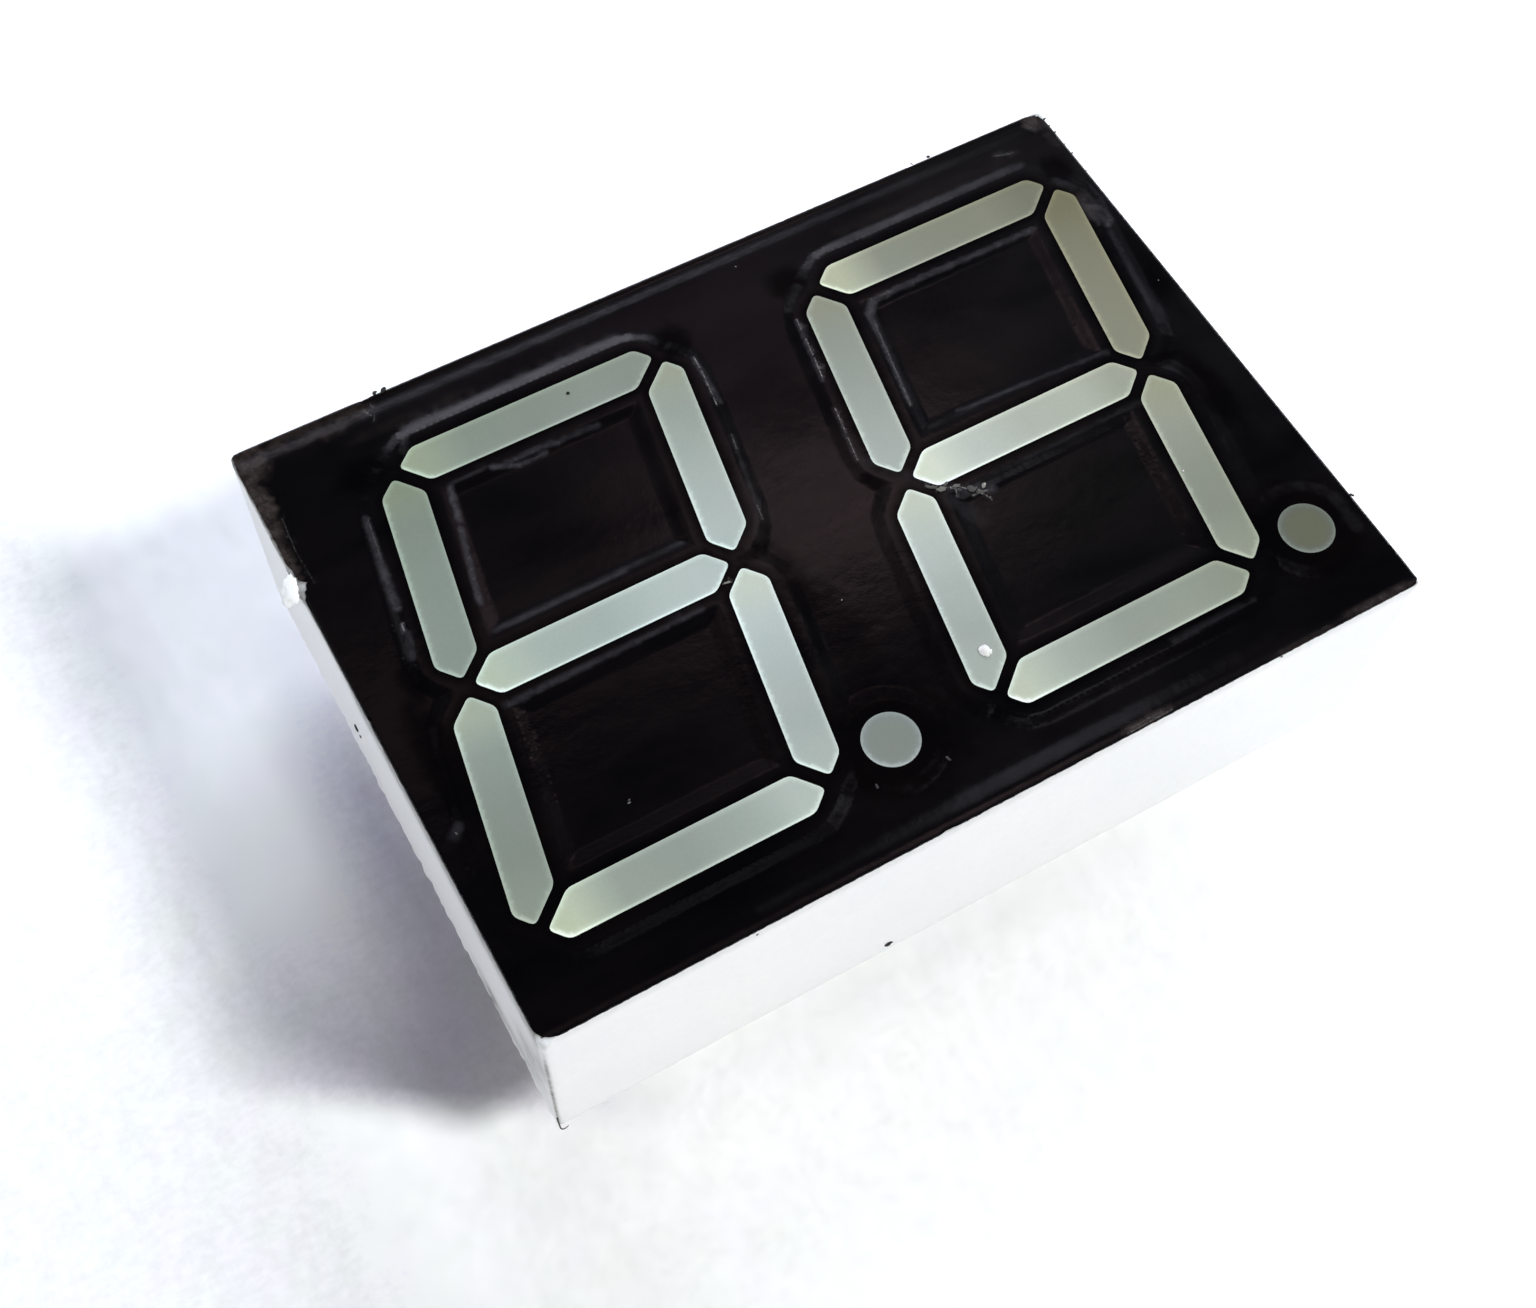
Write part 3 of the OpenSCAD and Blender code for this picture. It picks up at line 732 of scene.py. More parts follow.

# Bands of painted sheen along the lands, where their slopes catch light, as paler, duller ink: x, y of both
# ends, half width and strength
PAINTED_SHEEN_BANDS = [
    (-15.48, 8.4, -15.75, 6.6, 0.13, 0.75), (-15.8, 6.3, -16.1, 4.2, 0.17, 0.9),
    (-16.2, 3.0, -16.45, 2.0, 0.13, 0.5), (-16.24, 3.45, -16.3, 3.15, 0.08, 1.0),
    (-12.02, 8.1, -12.35, 6.6, 0.14, 0.8), (-12.45, 6.3, -13.26, 2.9, 0.12, 0.75),
    (-10.2, 8.2, -9.2, 7.8, 0.12, 0.8), (-9.2, 7.8, -8.0, 7.8, 0.1, 0.7),
    (-8.1, 8.15, -7.4, 7.98, 0.1, 0.8), (-9.6, 8.1, -7.6, 8.1, 0.12, 0.6),
    (-7.6, 8.05, -5.6, 8.0, 0.12, 0.4), (-12.0, 8.25, -10.4, 8.3, 0.08, 0.35),
    (-13.0, 10.5, -12.5, 11.2, 0.12, 0.5), (-12.4, 11.4, -11.0, 11.5, 0.24, 0.55),
    (-11.0, 11.5, -3.0, 11.5, 0.22, 0.4), (8.6, 11.3, 16.6, 11.4, 0.22, 0.3),
    (-13.3, 1.55, -7.8, 1.5, 0.1, 0.3), (-0.7, 9.0, -0.8, 6.7, 0.12, 0.6),
    (-1.17, 5.0, -2.0, 1.2, 0.08, 0.3), (-1.7, 1.9, -2.6, 0.6, 0.08, 0.25),
    (3.92, 8.7, 3.35, 5.6, 0.09, 0.5), (3.07, 4.2, 2.6, 1.6, 0.09, 0.4), (6.75, 7.6, 7.2, 8.05, 0.2, 0.8),
    (7.2, 8.05, 8.3, 8.15, 0.15, 0.7), (8.3, 8.15, 15.2, 8.1, 0.13, 0.7), (6.7, 7.5, 6.6, 6.9, 0.16, 0.8),
    (6.6, 6.9, 5.87, 2.9, 0.09, 0.7), (14.3, 1.3, 7.4, 1.75, 0.09, 0.4), (17.9, 8.0, 18.3, 7.75, 0.16, 0.8),
    (17.75, 8.3, 18.2, 7.1, 0.32, 0.45), (18.4, 7.6, 18.45, 7.2, 0.13, 0.6),
    (18.4, 7.0, 18.1, 6.8, 0.14, 0.8), (17.75, 7.6, 17.8, 7.1, 0.12, 0.5),
    (18.0, 6.4, 17.35, 2.6, 0.14, 0.3), (17.5, 9.9, 17.9, 9.2, 0.16, 0.3),
    (-14.2, -1.5, -6.0, -1.35, 0.12, 0.5), (5.8, -1.55, 14.8, -1.45, 0.08, 0.25),
    (9.0, -11.2, 12.8, -11.15, 0.07, 0.3), (-10.0, -12.95, -2.0, -12.85, 0.16, 0.08),
    (-2.0, -12.85, 6.4, -12.85, 0.16, 0.25), (-1.5, -12.7, 3.0, -12.75, 0.18, 0.3),
    (2.8, 1.6, 4.4, -0.4, 0.25, 0.25), (15.98, 12.34, 16.8, 12.05, 0.08, 0.4),
    (-18.2, -5.3, -17.9, -5.0, 0.2, 0.4), (5.1, -1.2, 5.9, -1.7, 0.16, 0.5),
    (5.7, -1.6, 6.6, -2.0, 0.22, 0.75), (4.9, -1.6, 5.4, -3.0, 0.3, 0.2),
    (18.35, -8.9, 18.3, -10.4, 0.28, 0.14),
]

# Places that mirror less: x, y, half width, half height and strength
SHADES = [
    (-3.1, -0.15, 0.9, 0.28, 0.9), (16.2, -0.1, 1.0, 0.33, 0.9), (1.3, 5.8, 1.6, 1.9, 0.35),
    (3.2, -12.0, 1.5, 0.4, 0.3), (-3.6, 0.5, 0.5, 0.25, 0.5), (15.6, 0.55, 0.5, 0.25, 0.5),
    (-2.5, -9.5, 2.7, 2.5, 1.0), (16.5, -9.5, 2.4, 2.5, 1.0), (18.3, 7.4, 0.1, 0.12, 1.0),
    (17.9, 5.0, 0.5, 1.6, 0.3), (-9.5, -11.6, 6.0, 0.5, 0.5), (-17.5, -6.0, 0.8, 3.5, 0.5),
    (16.7, -4.5, 0.8, 3.0, 0.4), (-1.8, -5.0, 0.8, 3.0, 0.4), (-14.7, 10.3, 1.0, 0.8, 0.95),
    (-1.1, 10.2, 0.8, 0.8, 0.95), (4.6, 10.6, 0.9, 0.8, 0.9), (17.9, 10.4, 0.7, 0.8, 0.95),
    (-16.9, 1.1, 0.5, 1.0, 0.9), (-17.3, -2.6, 0.8, 3.0, 0.97), (17.0, -2.2, 0.8, 2.2, 0.95),
    (18.2, 4.8, 0.7, 3.4, 0.75), (-2.3, -2.2, 0.6, 1.8, 0.8),
]


# Spacing of the ink's points near slopes and edges, and elsewhere
FINE, COARSE = 0.1, 0.26


def scuff_and_glint_points():
    """Three rows of points along each scuff and painted glint, so that the mesh can carry it."""
    rows = []
    for x0, y0, x1, y1, _ in SCUFFS_AND_GLINTS:
        start, way = np.array([x0, y0]), np.array([x1 - x0, y1 - y0])
        run = np.linalg.norm(way)
        side = np.array([-way[1], way[0]]) / run
        for t in np.linspace(0, 1, max(3, int(run / 0.04))):
            middle = start + way * t + side * 0.02 * wave(t * run * 6, x0, y0)
            rows += [middle, middle + side * SCUFF_AND_GLINT_W, middle - side * SCUFF_AND_GLINT_W]
    return np.array(rows)


def ink_grid(rings, land_edges):
    """Points for the ink's mesh: close by slopes, edges and scuffs, and further apart elsewhere."""
    def close(points, to_slope, to_edge):
        return (distance(points, land_edges) < to_slope) | (edge_distance(points) < to_edge)

    fine, coarse = (hex_grid(-HALF, HALF, spacing) for spacing in (FINE, COARSE))
    grid = np.concatenate([fine[close(fine, 0.25, 0.3)], coarse[~close(coarse, 0.3, 0.35)]])
    scuffs_and_glints = scuff_and_glint_points()
    grid = np.concatenate([clear_of(grid, scuffs_and_glints, 0.05), scuffs_and_glints])
    return clear_of(grid[inside(grid, rings)], np.concatenate(rings), 0.06)


def ink_level(points, crests, feet):
    """The level of the ink's upper face, which drops past the lands' slopes and at the body's edge."""
    past_crest, to_foot = past(points, crests), -past(points, feet)
    spread = 0.17 + 0.05 * waves(points, 1.6, 2, 2.0)
    slope = (past_crest + spread) / np.maximum(past_crest + to_foot + 2 * spread, 1e-6)
    level = FACE_Z - LAND_H * smooth(slope) - edge_drop(edge_distance(points)) - border_dip(points)
    return level + 0.0025 * waves(points, 1.3, 2, 3.0)


def along_lines(points, lines, share):
    """How strongly each point is marked by the lines, from a share that falls with the distance from them."""
    on = np.zeros(len(points))
    for x0, y0, x1, y1, half_width, strength in lines:
        off, way = points - [x0, y0], np.array([x1 - x0, y1 - y0])
        t = np.clip(off @ way / (way @ way), 0, 1)
        on = np.maximum(on, strength * share(lengths(off - t[:, None] * way) / half_width))
    return on


def in_patches(points, patches, share):
    """How strongly each point is marked by the patches, from a share that falls with the distance."""
    on = np.zeros(len(points))
    for x, y, width, height, strength in patches:
        on = np.maximum(on, strength * share(lengths((points - [x, y]) / [width, height])))
    return on


def ink_wear(points, windows):
    """What the ink's material reads at each point: wear and painted sheen, bands of painted sheen, scuffs and
    painted glints, and places that mirror less.
    """
    ragged, coarse = 0.45 * waves(points, 0.35, 4, 8.0), 0.25 * waves(points, 0.8, 4, 6.0)
    scuffs_and_glints = [(*ends, SCUFF_AND_GLINT_W, strength) for *ends, strength in SCUFFS_AND_GLINTS]
    in_gaps = np.clip(1.25 - distance(points, windows) / 0.34, 0, 1)
    shaded = in_patches(points, SHADES, lambda r: smooth((1.4 - r + 0.5 * ragged) / 0.8))
    return {
        "worn": in_patches(points, WEAR_AND_SHEEN_PATCHES, lambda r: smooth((1.15 - r + coarse) / 0.35)),
        "painted_sheen": along_lines(points, PAINTED_SHEEN_BANDS, lambda near: smooth((1.5 - near + ragged) / 1.1)),
        "scuff_and_glint": along_lines(points, scuffs_and_glints, lambda near: np.clip(1 - near, 0, 1)),
        "shaded": np.maximum(in_gaps, shaded),
    }


def sheet(points, level, normals, faces, rings):
    """The faces of a sheet of ink with its underside and sides, and the normals at all their corners."""
    n = len(points)
    verts = np.concatenate([np.column_stack([points, level]), np.column_stack([points, level - INK])])
    directed = {(f[i], f[(i + 1) % 3]) for f in faces.tolist() for i in range(3)}
    a, b = np.array([(a, b) if (a, b) in directed else (b, a) for a, b in ring_edges(rings)]).T
    sides = np.column_stack([b, a, a + n, b + n])
    run = points[a] - points[b]
    outwards = np.column_stack([run[:, 1], -run[:, 0], np.zeros(len(run))])
    outwards /= np.maximum(lengths(run), 1e-9)[:, None]
    under = faces[:, ::-1]
    corners = [normals[faces].reshape(-1, 3), -normals[under].reshape(-1, 3), np.repeat(outwards, 4, axis=0)]
    return verts, faces.tolist() + (under + n).tolist() + sides.tolist(), np.concatenate(corners)


def build_ink(material, windows):
    """The ink follows the CAD's raised lands with soft slopes, and the moulding's rounded edge."""
    bm = welded("face_print")
    on_lands, on_border = ([plan(loop) for loop in loops_round(faces_at(bm, z))] for z in (FACE_Z, BORDER_Z))
    bm.free()
    window_keys = {tuple(np.round(p, 1)) for w in windows for p in w}
    crests = [l for l in on_lands if np.mean([tuple(np.round(p, 1)) in window_keys for p in l]) < 0.5]
    feet = [l for l in on_border if edge_distance(l).max() > EDGE_NEAR]

    centres, outwards = perimeter(0.09)
    outline = centres + outwards * CORNER_R
    outline -= outwards * worn_back(outline)[:, None]
    rings = [outline] + [resampled(w, PLUG_STEP) for w in windows]
    points, faces = triangles_over(rings, ink_grid(rings, crests + feet))

    level = lambda shift: ink_level(points + shift, crests, feet)
    step = 0.01
    tilt = [(level(way) - level(-way)) / (2 * step) for way in np.array([[step, 0], [0, step]])]
    normals = np.column_stack([-tilt[0], -tilt[1], np.ones(len(points))])
    normals /= lengths(normals)[:, None]
    wear = ink_wear(points, windows)
    verts, polygons, corners = sheet(points, level(0) + SCUFF_AND_GLINT_H * wear["scuff_and_glint"], normals, faces, rings)

    mesh = bpy.data.meshes.new("face_ink")
    mesh.from_pydata((verts * MM).tolist(), [], polygons)
    obj = shown("face_ink_skin", mesh, material)
    for name, values in wear.items():
        layer = mesh.attributes.new(name, "FLOAT", "POINT")
        layer.data.foreach_set("value", np.tile(values, 2).astype(np.float32))
    mesh.normals_split_custom_set(corners.tolist())
    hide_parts("face_print")


# ---- Light plugs ----

# How pale each plug is at five places along it, from its upper or left end, in the order of CELLS: painted
# light and shade that the plugs show across the face
PLUG_PLACES = (-0.82, -0.48, 0.0, 0.48, 0.82)
PLUG_PAINTED_LEVELS = {
    "left": (
        (0.32, 0.24, 0.23, 0.25, 0.24), (0.31, 0.32, 0.38, 0.43, 0.46), (0.56, 0.51, 0.44, 0.40, 0.43),
        (0.51, 0.32, 0.30, 0.37, 0.47), (0.38, 0.29, 0.25, 0.24, 0.27), (0.24, 0.23, 0.25, 0.26, 0.26),
        (0.49, 0.41, 0.40, 0.48, 0.49), (0.22,) * 5),
    "right": (
        (0.43, 0.235, 0.207, 0.197, 0.152), (0.138, 0.167, 0.188, 0.206, 0.216),
        (0.30, 0.29, 0.25, 0.24, 0.28), (0.52, 0.39, 0.30, 0.30, 0.27), (0.54, 0.49, 0.42, 0.37, 0.40),
        (0.245, 0.265, 0.305, 0.36, 0.39), (0.66, 0.51, 0.42, 0.42, 0.33), (0.115,) * 5),
}
# The way down an upright segment, which leans
DOWNWARDS = np.array([-0.17, -0.985])
# The way in the plan that the plugs' rims catch most light from
RIM_LIGHT = np.array([-0.5, -0.86])
# How far the middle of a plug's top is sunk, the step of its mesh, and how far in its rim's row of points is
PLUG_DISH = 0.018
PLUG_STEP = 0.16
PLUG_RIM = 0.05


def plug_tone_and_light(side, cell, points, along, to_rim):
    """Tone of a plug's epoxy, with painted light: its level along the plug, less blue towards the display's
    sides, green at its start, and a painted highlight at its rim.
    """
    x, y = (points / (19, 13)).T
    depth_in = lengths(to_rim)
    facing = np.clip((to_rim @ RIM_LIGHT) / np.maximum(depth_in, 1e-6), 0, 1)
    start = smooth((-along - 0.45) / 0.5)
    # Painted highlight: a paler rim, strongest on the side towards RIM_LIGHT and at the plug's start
    rim = bell(depth_in / 0.14) * (0.22 + 0.12 * facing + 0.2 * start * facing)
    rim += bell(depth_in / 0.05) * (0.4 + 1.2 * facing)
    green = start * np.clip(1 - 2 * rim, 0, 1)
    if cell == "decimal_point":
        green = (1.1 if side == "right" else 0.3) * (1 - 2.2 * bell(depth_in / 0.28))
    # Painted light and shade along the plug
    level = np.interp(along, PLUG_PLACES, PLUG_PAINTED_LEVELS[side][CELLS.index(cell)]) * (1 + rim)
    red = 0.92 + 0.07 * x + 0.06 * x * y + 0.03 * green
    blue = 0.93 - 0.07 * x - 0.06 * y - 0.20 * x ** 2 - 0.14 * y ** 2 - 0.10 * green
    if (side, cell) == ("right", "segment_b"):
        red, blue = red + 0.06, blue - 0.08
    colour = level[:, None] * np.column_stack([red, np.ones(len(points)), blue])
    return np.clip(colour, 0, 0.95)


def build_plug(side, cell, material):
    """A CAD plug whose top has a slight dish, and its epoxy's tone with painted light and shade. Returns its
    outline.
    """
    node = f"{side}_{cell}"
    bm = welded(node)
    layer = bm.verts.layers.float_color.new("tone")
    verts, loops = refine_level(bm, FACE_Z, PLUG_STEP, rim=PLUG_RIM)
    outline, points = plan(loops[0]), plan(verts)
    upright = cell[-1] in "bcef"
    axis = DOWNWARDS if upright else np.array([1.0, 0.0])
    reach = np.ptp(outline, axis=0)[1 if upright else 0] / 2
    to_rim = nearest(points, [outline])
    tones = plug_tone_and_light(side, cell, points, (points - outline.mean(0)) @ axis / reach, to_rim)
    for v in bm.verts:
        v[layer] = (0.5, 0.54, 0.5, 1)
    for v, p, d, tone in zip(verts, points, lengths(to_rim), tones):
        v.co.z = FACE_Z - PLUG_DISH * (1 - math.exp(-d / 0.12)) + 0.003 * wave(p[0], p[1], 1.0, 0.9)
        v[layer] = (*tone, 1)
    piece(f"{node}_epoxy", bm, node, material, 50)
    return outline


# ---- Rear side ----

def build_potting(material):
    """The CAD potting, with a surface that climbs the walls and the leads, and a few burst bubbles."""
    bm = welded("rear_potting")
    verts, loops = refine_level(bm, POTTING_Z, 0.25, upwards=False)
    points, loops = plan(verts), [plan(loop) for loop in loops]
    widths = [np.ptp(loop, axis=0).max() for loop in loops]
    to_wall = distance(points, [loop for loop, width in zip(loops, widths) if width > 5])
    to_lead = distance(points, [loop for loop, width in zip(loops, widths) if width <= 5])
    bubbles = np.random.default_rng(5).uniform(-1, 1, (14, 2)) * (HALF - 2.5)
    for v, p, wall, lead in zip(verts, points, to_wall, to_lead):
        climb = 0.2 * math.exp(-wall / 0.4) + 0.16 * math.exp(-lead / 0.22)
        r = lengths(bubbles - p).min()
        burst = 0.10 * bell(r / 0.25) - 0.03 * bell((r - 0.42) / 0.1)
        v.co.z = POTTING_Z - climb + 0.03 * wave(p[0], p[1], 2.0, 5.0) + burst
    piece("potting_fill", bm, "rear_potting", material, 50)


# Half the thickness of a lead where it is coined flat, and the level where the flat begins
COIN_HALF = 0.21
COIN_Z = 4.14


def build_lead(number, material):
    """A tinned lead: round, with a sheared tip and uneven tin, and coined flat from the rear rim up."""
    node = f"pin_{number}"
    low, high = (np.array(corner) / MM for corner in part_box(node))
    middle, size = (low + high)[:2] / 2, high - low
    coin = np.array([size[0] / 2, COIN_HALF])
    angles = np.linspace(0, 2 * math.pi, 24, endpoint=False)
    round_way = np.column_stack([np.cos(angles), np.sin(angles)])
    corner = (coin / np.maximum(np.abs(round_way), 1e-6)).min(axis=1)
    flat_way = round_way * np.minimum(corner, np.hypot(*coin) * 0.97)[:, None]
    lean = np.array([math.sin(number * 2.1), math.cos(number * 3.7)]) * 0.035
    levels = [0.0, 0.03, 0.07, 0.12, 0.2, *np.linspace(0.35, 4.0, 22), 4.1, 4.18, 4.24, 4.3, 4.38, 4.5, 5.0]
    bm = bmesh.new()
    rings = []
    for z in (*levels, high[2]):
        tip = min(1.0, 0.62 + 0.38 * math.sqrt(min(z / 0.12, 1.0)))
        flat = smooth((z - COIN_Z) / 0.2)
        tin = 0.97 + 0.022 * wave(number * 7.0, z, 0.0, 0.8) + 0.03 * bell((z - 3.6) / 0.5)
        ring = round_way * size[1] / 2 * tip * tin * (1 - flat) + flat_way * flat
        ring += middle + lean * (1 - smooth(z / 4.3))
        shear = 0.05 * max(0.0, 1 - z / 0.2) * (1 + np.cos(angles - number * 1.3))
        rings.append([bm.verts.new((p[0], p[1], z + s)) for p, s in zip(ring, shear)])
    join_rings(bm, rings, ends=True)
    piece(f"lead_{number}_tinned", bm, node, material, 55)


# ---- Dust ----

# Grains on the face: x, y, size, 1 on a land or 0 beside the lands, and tone
SPECKS = [
    (-12.15, -7.1, 0.1, 0, 0.14), (-12.1, -7.0, 0.08, 0, 0.1), (-3.95, -10.82, 0.22, 0, 0.045),
    (-1.1, -11.15, 0.16, 0, 0.05), (-18.1, -5.2, 0.12, 0, 0.07), (3.1, 12.35, 0.07, 0, 0.17),
    (13.75, -5.0, 0.08, 1, 0.8), (-1.13, -3.54, 0.05, 0, 0.4), (18.35, 3.35, 0.05, 0, 0.25),
    (-7.4, 3.0, 0.04, 0, 0.03), (8.2, -11.6, 0.05, 0, 0.3), (2.47, -8.05, 0.46, 1, 0.95),
    (2.6, -8.17, 0.24, 1, 0.95), (2.35, -7.92, 0.2, 1, 0.9), (5.9, -1.75, 0.1, 1, 0.42),
    (6.15, -2.05, 0.12, 1, 0.48), (5.2, -1.25, 0.07, 1, 0.35), (-5.96, 9.92, 0.14, 1, 0.01),
    (-12.72, 13.63, 0.2, 0, 0.03), (-12.35, 13.61, 0.26, 0, 0.02), (12.5, 13.63, 0.1, 0, 0.06),
    (13.35, 13.64, 0.16, 0, 0.03), (19.03, -9.1, 0.16, 0, 0.05),
]
# Flakes of torn ink and plastic: x, y, length, width, turn in degrees and tone
FLAKES = [
    (4.52, -0.88, 0.55, 0.16, -38, 0.1), (4.82, -1.14, 0.42, 0.22, -30, 0.17),
    (5.1, -1.02, 0.3, 0.16, 15, 0.1), (5.42, -1.29, 0.34, 0.18, -10, 0.13),
    (5.9, -1.7, 0.4, 0.26, -45, 0.07), (6.12, -1.98, 0.36, 0.2, -20, 0.09),
    (6.38, -1.8, 0.26, 0.13, 50, 0.3), (6.46, -1.76, 0.1, 0.07, 20, 0.8),
    (-4.62, -0.82, 0.34, 0.07, -12, 0.35),
]
# Specks on the walls: place, size and tone
WALL_SPECKS = [
    (-19.02, 3.75, 8.12, 0.36, 0.02), (-19.02, 3.45, 7.9, 0.16, 0.05), (-4.24, -13.62, 5.12, 0.34, 0.01),
    (-4.05, -13.62, 5.05, 0.1, 0.05), (-10.5, -13.62, 14.4, 0.1, 0.03), (19.02, 13.1, 14.7, 0.16, 0.05),
    (19.03, 12.7, 14.68, 0.1, 0.12), (19.02, 12.25, 14.7, 0.13, 0.08), (19.04, 11.5, 14.66, 0.08, 0.15),
    (19.03, 10.9, 14.7, 0.11, 0.1), (19.03, 9.8, 14.68, 0.07, 0.15), (12.3, -13.63, 14.66, 0.12, 0.04),
]
# A hair caught under the body's near left corner
HAIR = [
    (-18.97, -13.62, 5.6), (-18.95, -13.63, 4.7), (-18.93, -13.65, 4.2), (-18.86, -13.66, 3.98),
    (-18.74, -13.66, 3.92), (-18.6, -13.65, 4.02),
]


def turned(x, y, angle):
    """A step in the plan, turned by an angle."""
    return x * math.cos(angle) - y * math.sin(angle), x * math.sin(angle) + y * math.cos(angle)


def grain(bm, size):
    return bmesh.ops.create_icosphere(bm, subdivisions=2, radius=size / 2)["verts"]


def add_specks(bm, layer, rng):
    """Ragged grains that lie on the face."""
    for x, y, size, on_land, tone in SPECKS:
        verts = grain(bm, size)
        stretch, turn = rng.uniform(0.6, 1.5), rng.uniform(0, math.pi)
        ground = (FACE_Z if on_land else BORDER_Z) + 0.004
        for v in verts:
            v.co *= 1 + 0.5 * noise.noise(v.co * 30 + Vector((x, y, 0)))
            px, py = turned(v.co.x * stretch, v.co.y / stretch, turn)
            v.co = (x + px, y + py, ground + v.co.z * 0.35)
            v[layer] = (tone, tone * 0.98, tone * 0.96, 1)


def add_flakes(bm, layer, rng):
    """Thin ragged plates, raised a little in the middle."""
    for x, y, length, width, turn, tone in FLAKES:
        outline = []
        for a in np.linspace(0, 2 * math.pi, 11, endpoint=False):
            px = length / 2 * math.cos(a) * rng.uniform(0.7, 1.15)
            py = width / 2 * math.sin(a) * rng.uniform(0.6, 1.3)
            outline.append(turned(px, py, math.radians(turn)))
        lift = [FACE_Z + rng.uniform(0.0, 0.05) for _ in outline]
        lower, upper = ([bm.verts.new((x + px, y + py, z + half)) for (px, py), z in zip(outline, lift)]
                        for half in (-0.02, 0.02))
        peak = bm.verts.new((x, y, FACE_Z + 0.07))
        join_rings(bm, [lower, upper])
        for a, b in zip(upper, upper[1:] + upper[:1]):
            bm.faces.new((a, b, peak))
        bm.faces.new(lower[::-1])
        for v in (*lower, *upper, peak):
            v[layer] = (tone, tone * 0.96, tone * 0.88, 1)


def add_wall_specks(bm, layer):
    """Ragged grains that stick to the walls, flattened against them."""
    for x, y, z, size, tone in WALL_SPECKS:
        flat = Vector((0.3, 1, 1)) if x < -18.9 else Vector((1, 0.3, 1))
        for v in grain(bm, size):
            ragged = 1 + 0.5 * noise.noise(v.co * 25 + Vector((y, z, 0)))
            v.co = v.co * ragged * flat + Vector((x, y, z))
            v[layer] = (tone, tone, tone * 0.9, 1)


def add_hair(bm, layer):
    """A thin round hair that tapers along its way."""
    rings = []
    for i, place in enumerate(HAIR):
        ahead = Vector(HAIR[min(i + 1, len(HAIR) - 1)]) - Vector(HAIR[max(i - 1, 0)])
        across = ahead.cross(Vector((0, 1, 0))).normalized()
        up = ahead.cross(across).normalized()
        r = 0.036 * (1 - 0.1 * i)
        rings.append([bm.verts.new(Vector(place) + r * (math.cos(a) * across + math.sin(a) * up))
                      for a in np.linspace(0, 2 * math.pi, 8, endpoint=False)])
    for v in sum(rings, []):
        v[layer] = (0.06, 0.06, 0.05, 1)
    join_rings(bm, rings, ends=True)


def build_specks(material):
    """Dust, lint and flakes of plastic on the face and walls, as one piece of small ragged grains."""
    bm = bmesh.new()
    layer = bm.verts.layers.float_color.new("tone")
    rng = np.random.default_rng(11)
    add_specks(bm, layer, rng)
    add_flakes(bm, layer, rng)
    add_wall_specks(bm, layer)
    add_hair(bm, layer)
    piece("dust_specks", bm, None, material, 60)


# The torn burr's place and half sizes
BURR_AT = (-19.30, 6.84, BORDER_Z - 0.06)
BURR_SIZE = (0.36, 0.60, 0.10)


def build_burr(material):
    """The curl of plastic torn up at the left edge, lying out over the wall."""
    bm = bmesh.new()
    bm.verts.layers.float.new("grime_and_shade")
    for v in bmesh.ops.create_icosphere(bm, subdivisions=4, radius=1.0)["verts"]:
        lumps = 1 + 0.28 * noise.fractal(v.co * 1.6, 1.0, 2.0, 4) + 0.10 * noise.noise(v.co * 6)
        x, y, z = (c * half * lumps for c, half in zip(v.co, BURR_SIZE))
        v.co = Vector(BURR_AT) + Vector((x + 0.30 * y, y, z + 0.10 * x - 0.25 * x * x))
    piece("torn_burr", bm, None, material, 60)


# ---- Studio ----

# Painted shadow on the table beside the body, deepening its cast shadow by the near left corner and along the
# left wall: place, reach in X and Y, and colour
TABLE_PAINTED_SHADOWS = [
    ((-21.5, -7.5, 0.0), (10.5, 10.5), (0.56, 0.53, 0.6)),
    ((-19.6, 3.0, 0.0), (3.2, 12.0), (0.66, 0.65, 0.77)),
]
# They lie behind a line across the table: the way across it, and how far along that way it begins
SHADE_ACROSS = (0.55, 0.835, 0.0)
SHADE_EDGE = -20.7


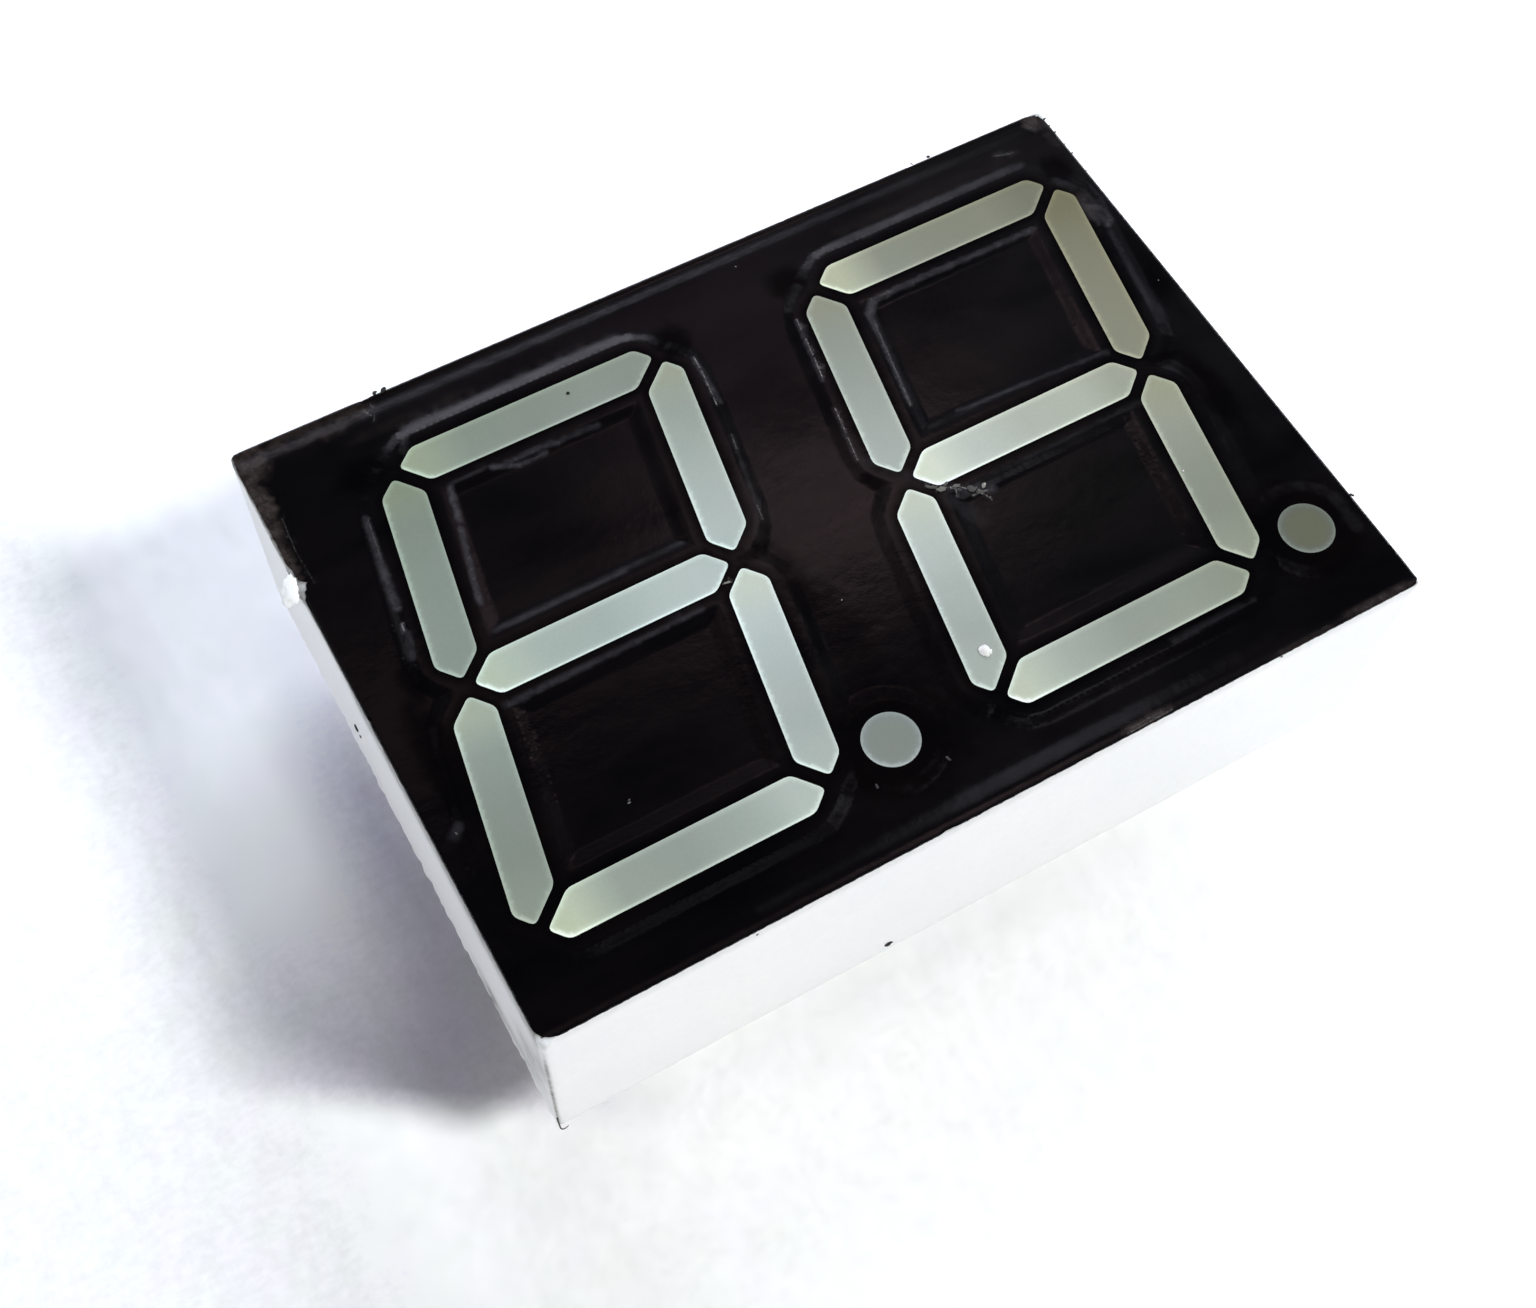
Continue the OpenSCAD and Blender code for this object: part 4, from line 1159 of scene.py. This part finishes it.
def build_floor():
    """A wide white table that keeps the shadow, with shadow and shade painted onto it beside the body.
    Seen directly or mirrored it is brighter than as a light.
    """
    bpy.ops.mesh.primitive_grid_add(x_subdivisions=2, y_subdivisions=2, size=1.2)
    floor = bpy.context.object
    floor.name = "table_top"
    p = Paint("table_white")
    p.tree.nodes.remove(p.shader)

    path = p.add("LightPath").outputs
    seen = p.math("MAXIMUM", path["Is Camera Ray"], path["Is Glossy Ray"])
    seen = p.math("MAXIMUM", seen, path["Is Transmission Ray"])
    tone = p.mix(seen, (0.85, 0.85, 0.85), (1.15, 1.16, 1.16))

    past_edge = p.vector("DOT_PRODUCT", p.place, SHADE_ACROSS)
    behind = p.range(past_edge, SHADE_EDGE * MM, (SHADE_EDGE + 1.2) * MM)
    # Painted shadow: each patch darkens the table behind the line, most at its centre
    for centre, reach, colour in TABLE_PAINTED_SHADOWS:
        share = p.away(p.place, [c * MM for c in centre], [r * MM for r in reach])
        painted_shadow = p.times(behind, p.range(share, 0.05, 1.0, 1.0, 0.0))
        tone = p.mix(painted_shadow, tone, colour, "MULTIPLY")
    # Painted shade: the table grows darker towards its left, out into the body's cast shadow
    x = p.add("SeparateXYZ", {0: p.place}).outputs["X"]
    painted_shade_west = p.range(x, -28.5 * MM, -24.0 * MM, 0.80, 1.0)
    grain = p.range(p.noise(0.33, 4.0, 0.6, p.stretched(0.6, 1.0, 1.0)), 0.3, 0.7, 0.96, 1.04)
    cloud = p.range(p.noise(0.9, 5.0, 0.7, p.stretched(1.0, 0.5, 1.0)), 0.3, 0.7, 0.94, 1.05)
    level = p.times(painted_shade_west, p.times(grain, cloud))
    tinted = p.range(p.noise(2.2, 3.0), 0.4, 0.6)
    tone = p.mix(tinted, p.scaled(tone, level), (1.012, 0.99, 1.02), "MULTIPLY")
    diffuse = p.add("BsdfDiffuse", {"Color": tone})
    p.feed(p.tree.nodes["Material Output"].inputs["Surface"], diffuse.outputs[0])
    floor.data.materials.append(p.material)


# The key light's level on the open table and the way to it, then the levels of the sky and the dark room
KEY_LEVEL = (0.50, 0.51, 0.50)
KEY_FROM = Vector((0.49, -0.49, 0.72)).normalized()
SKY_LEVEL = (0.02, 0.022, 0.026)
ROOM_LEVEL = (0.008, 0.007, 0.010)
# Soft lights that only diffuse surfaces see: direction, cosines where they begin and are full, and colour
SOFT_LIGHTS = [
    (Vector((0.506, 0.723, 0.469)), 0.8, 0.97, (4.3, 4.6, 5.2)),
    (Vector((0.0, -1.0, 0.1)), 0.8, 0.97, (1.5, 1.47, 1.4)),
    (Vector((-1.0, 0.1, 0.1)), 0.8, 0.97, (2.5, 2.55, 2.6)),
]
# What glossy surfaces see above them: place as x / z and y / z, half widths, and colour
REFLECTED = [
    ((0.37, 0.51), (0.115, 0.037), (0.74, 0.49, 0.51)),
    ((0.36, 0.63), (0.1, 0.15), (0.13, 0.08, 0.1)),
    ((0.6, 0.7), (0.14, 0.05), (0.06, 0.04, 0.04)),
    ((0.12, 0.51), (0.14, 0.035), (0.24, 0.16, 0.17)),
    ((0.48, 0.47), (0.07, 0.04), (0.12, 0.12, 0.1)),
    ((0.385, 0.2), (0.075, 0.05), (0.65, 0.63, 0.72)),
    ((0.2, 0.11), (0.1, 0.03), (0.35, 0.36, 0.42)),
    ((-0.22, 0.62), (0.12, 0.08), (0.6, 0.58, 0.62)),
    ((0.9, 0.64), (0.2, 0.13), (0.34, 0.33, 0.4)),
    ((0.33, 1.35), (0.4, 0.36), (2.1, 2.1, 2.45)),
]


def build_light():
    """A soft key light from the front right, a faint sky, and a room to reflect that is dark overhead."""
    sun = bpy.data.lights.new("key_light", "SUN")
    level = max(KEY_LEVEL)
    sun.energy = math.pi * level / KEY_FROM.z
    sun.color = [c / level for c in KEY_LEVEL]
    sun.angle = math.radians(13)
    lamp = added("key_light", sun)
    lamp.rotation_mode = "QUATERNION"
    lamp.rotation_quaternion = KEY_FROM.to_track_quat("Z", "Y")
    lamp.visible_glossy = False

    world = bpy.data.worlds.new("studio")
    bpy.context.scene.world = world
    world.use_nodes = True
    n = Nodes(world.node_tree)
    n.tree.nodes.clear()

    def ramp(value, start, full, colour):
        return n.scaled(colour, n.range(value, start, full, kind="SMOOTHSTEP"))

    def total(colours):
        result = colours[0]
        for colour in colours[1:]:
            result = n.vector("ADD", result, colour)
        return n.add("Background", {"Color": result}).outputs[0]

    place = n.add("TexCoord").outputs["Generated"]
    height = n.add("SeparateXYZ", {0: place}).outputs["Z"]
    soft = [SKY_LEVEL]
    for direction, start, full, colour in SOFT_LIGHTS:
        soft.append(ramp(n.vector("DOT_PRODUCT", place, direction.normalized()), start, full, colour))
    room = [ROOM_LEVEL, ramp(height, 0.55, 0.30, (0.75, 0.76, 0.84))]
    plane = n.scaled(place, n.math("DIVIDE", 1.0, n.math("MAXIMUM", height, 0.05)))
    for centre, reach, colour in REFLECTED:
        room.append(ramp(n.away(plane, (*centre, 1.0), reach), 1.5, 0.3, colour))

    path = n.add("LightPath").outputs
    white = n.add("Background", {"Color": (1, 1, 1)}).outputs[0]
    lit = n.add("MixShader", {0: path["Is Glossy Ray"], 1: total(soft), 2: total(room)}).outputs[0]
    seen = n.math("MAXIMUM", path["Is Camera Ray"], path["Is Transmission Ray"])
    n.add("OutputWorld", {"Surface": n.add("MixShader", {0: seen, 1: lit, 2: white}).outputs[0]})


def build_camera():
    """Close above the lower left corner, turned so that the body leans across the picture."""
    data = bpy.data.cameras.new("camera")
    data.sensor_width = 36.0
    data.lens = 48.02
    data.clip_start, data.clip_end = 0.005, 10.0
    camera = added("camera", data)
    camera.location = (-0.02429, -0.03468, 0.08263)
    camera.rotation_euler = [math.radians(a) for a in (28.016, -1.657, -29.567)]
    bpy.context.scene.camera = camera


# ---- Everything together ----

build_camera()
build_floor()
build_light()
bpy.context.scene.view_settings.view_transform = "Standard"

epoxy = milky_epoxy()
windows = [build_plug(side, cell, epoxy) for side in SIDES for cell in CELLS]
build_ink(black_ink(), windows)
plastic = white_plastic()
build_housing(plastic)
build_potting(cast_potting())
tin = metal("tinned_copper", (0.72, 0.73, 0.75), (0.45, 0.45, 0.46), "z")
for number in range(1, LEADS + 1):
    build_lead(number, tin)
build_specks(lint())
build_burr(plastic)

hidden = {
    "circuit_board": glass_fibre(),
    "copper_pads": metal("etched_copper", (0.80, 0.44, 0.28), (0.42, 0.20, 0.12), "x"),
    "left_led_dies": crystal(),
    "left_bond_wires": metal("gold_wire", (0.90, 0.66, 0.28), (0.70, 0.48, 0.18), "x", (0.12, 0.25)),
    "solder_joints": metal("bright_solder", (0.66, 0.67, 0.69), (0.38, 0.38, 0.40), "z", (0.15, 0.4)),
}
hidden["right_led_dies"] = hidden["left_led_dies"]
hidden["right_bond_wires"] = hidden["left_bond_wires"]
for node, material in hidden.items():
    slots = frame["nodes"][node].data.materials
    slots.clear()
    slots.append(material)
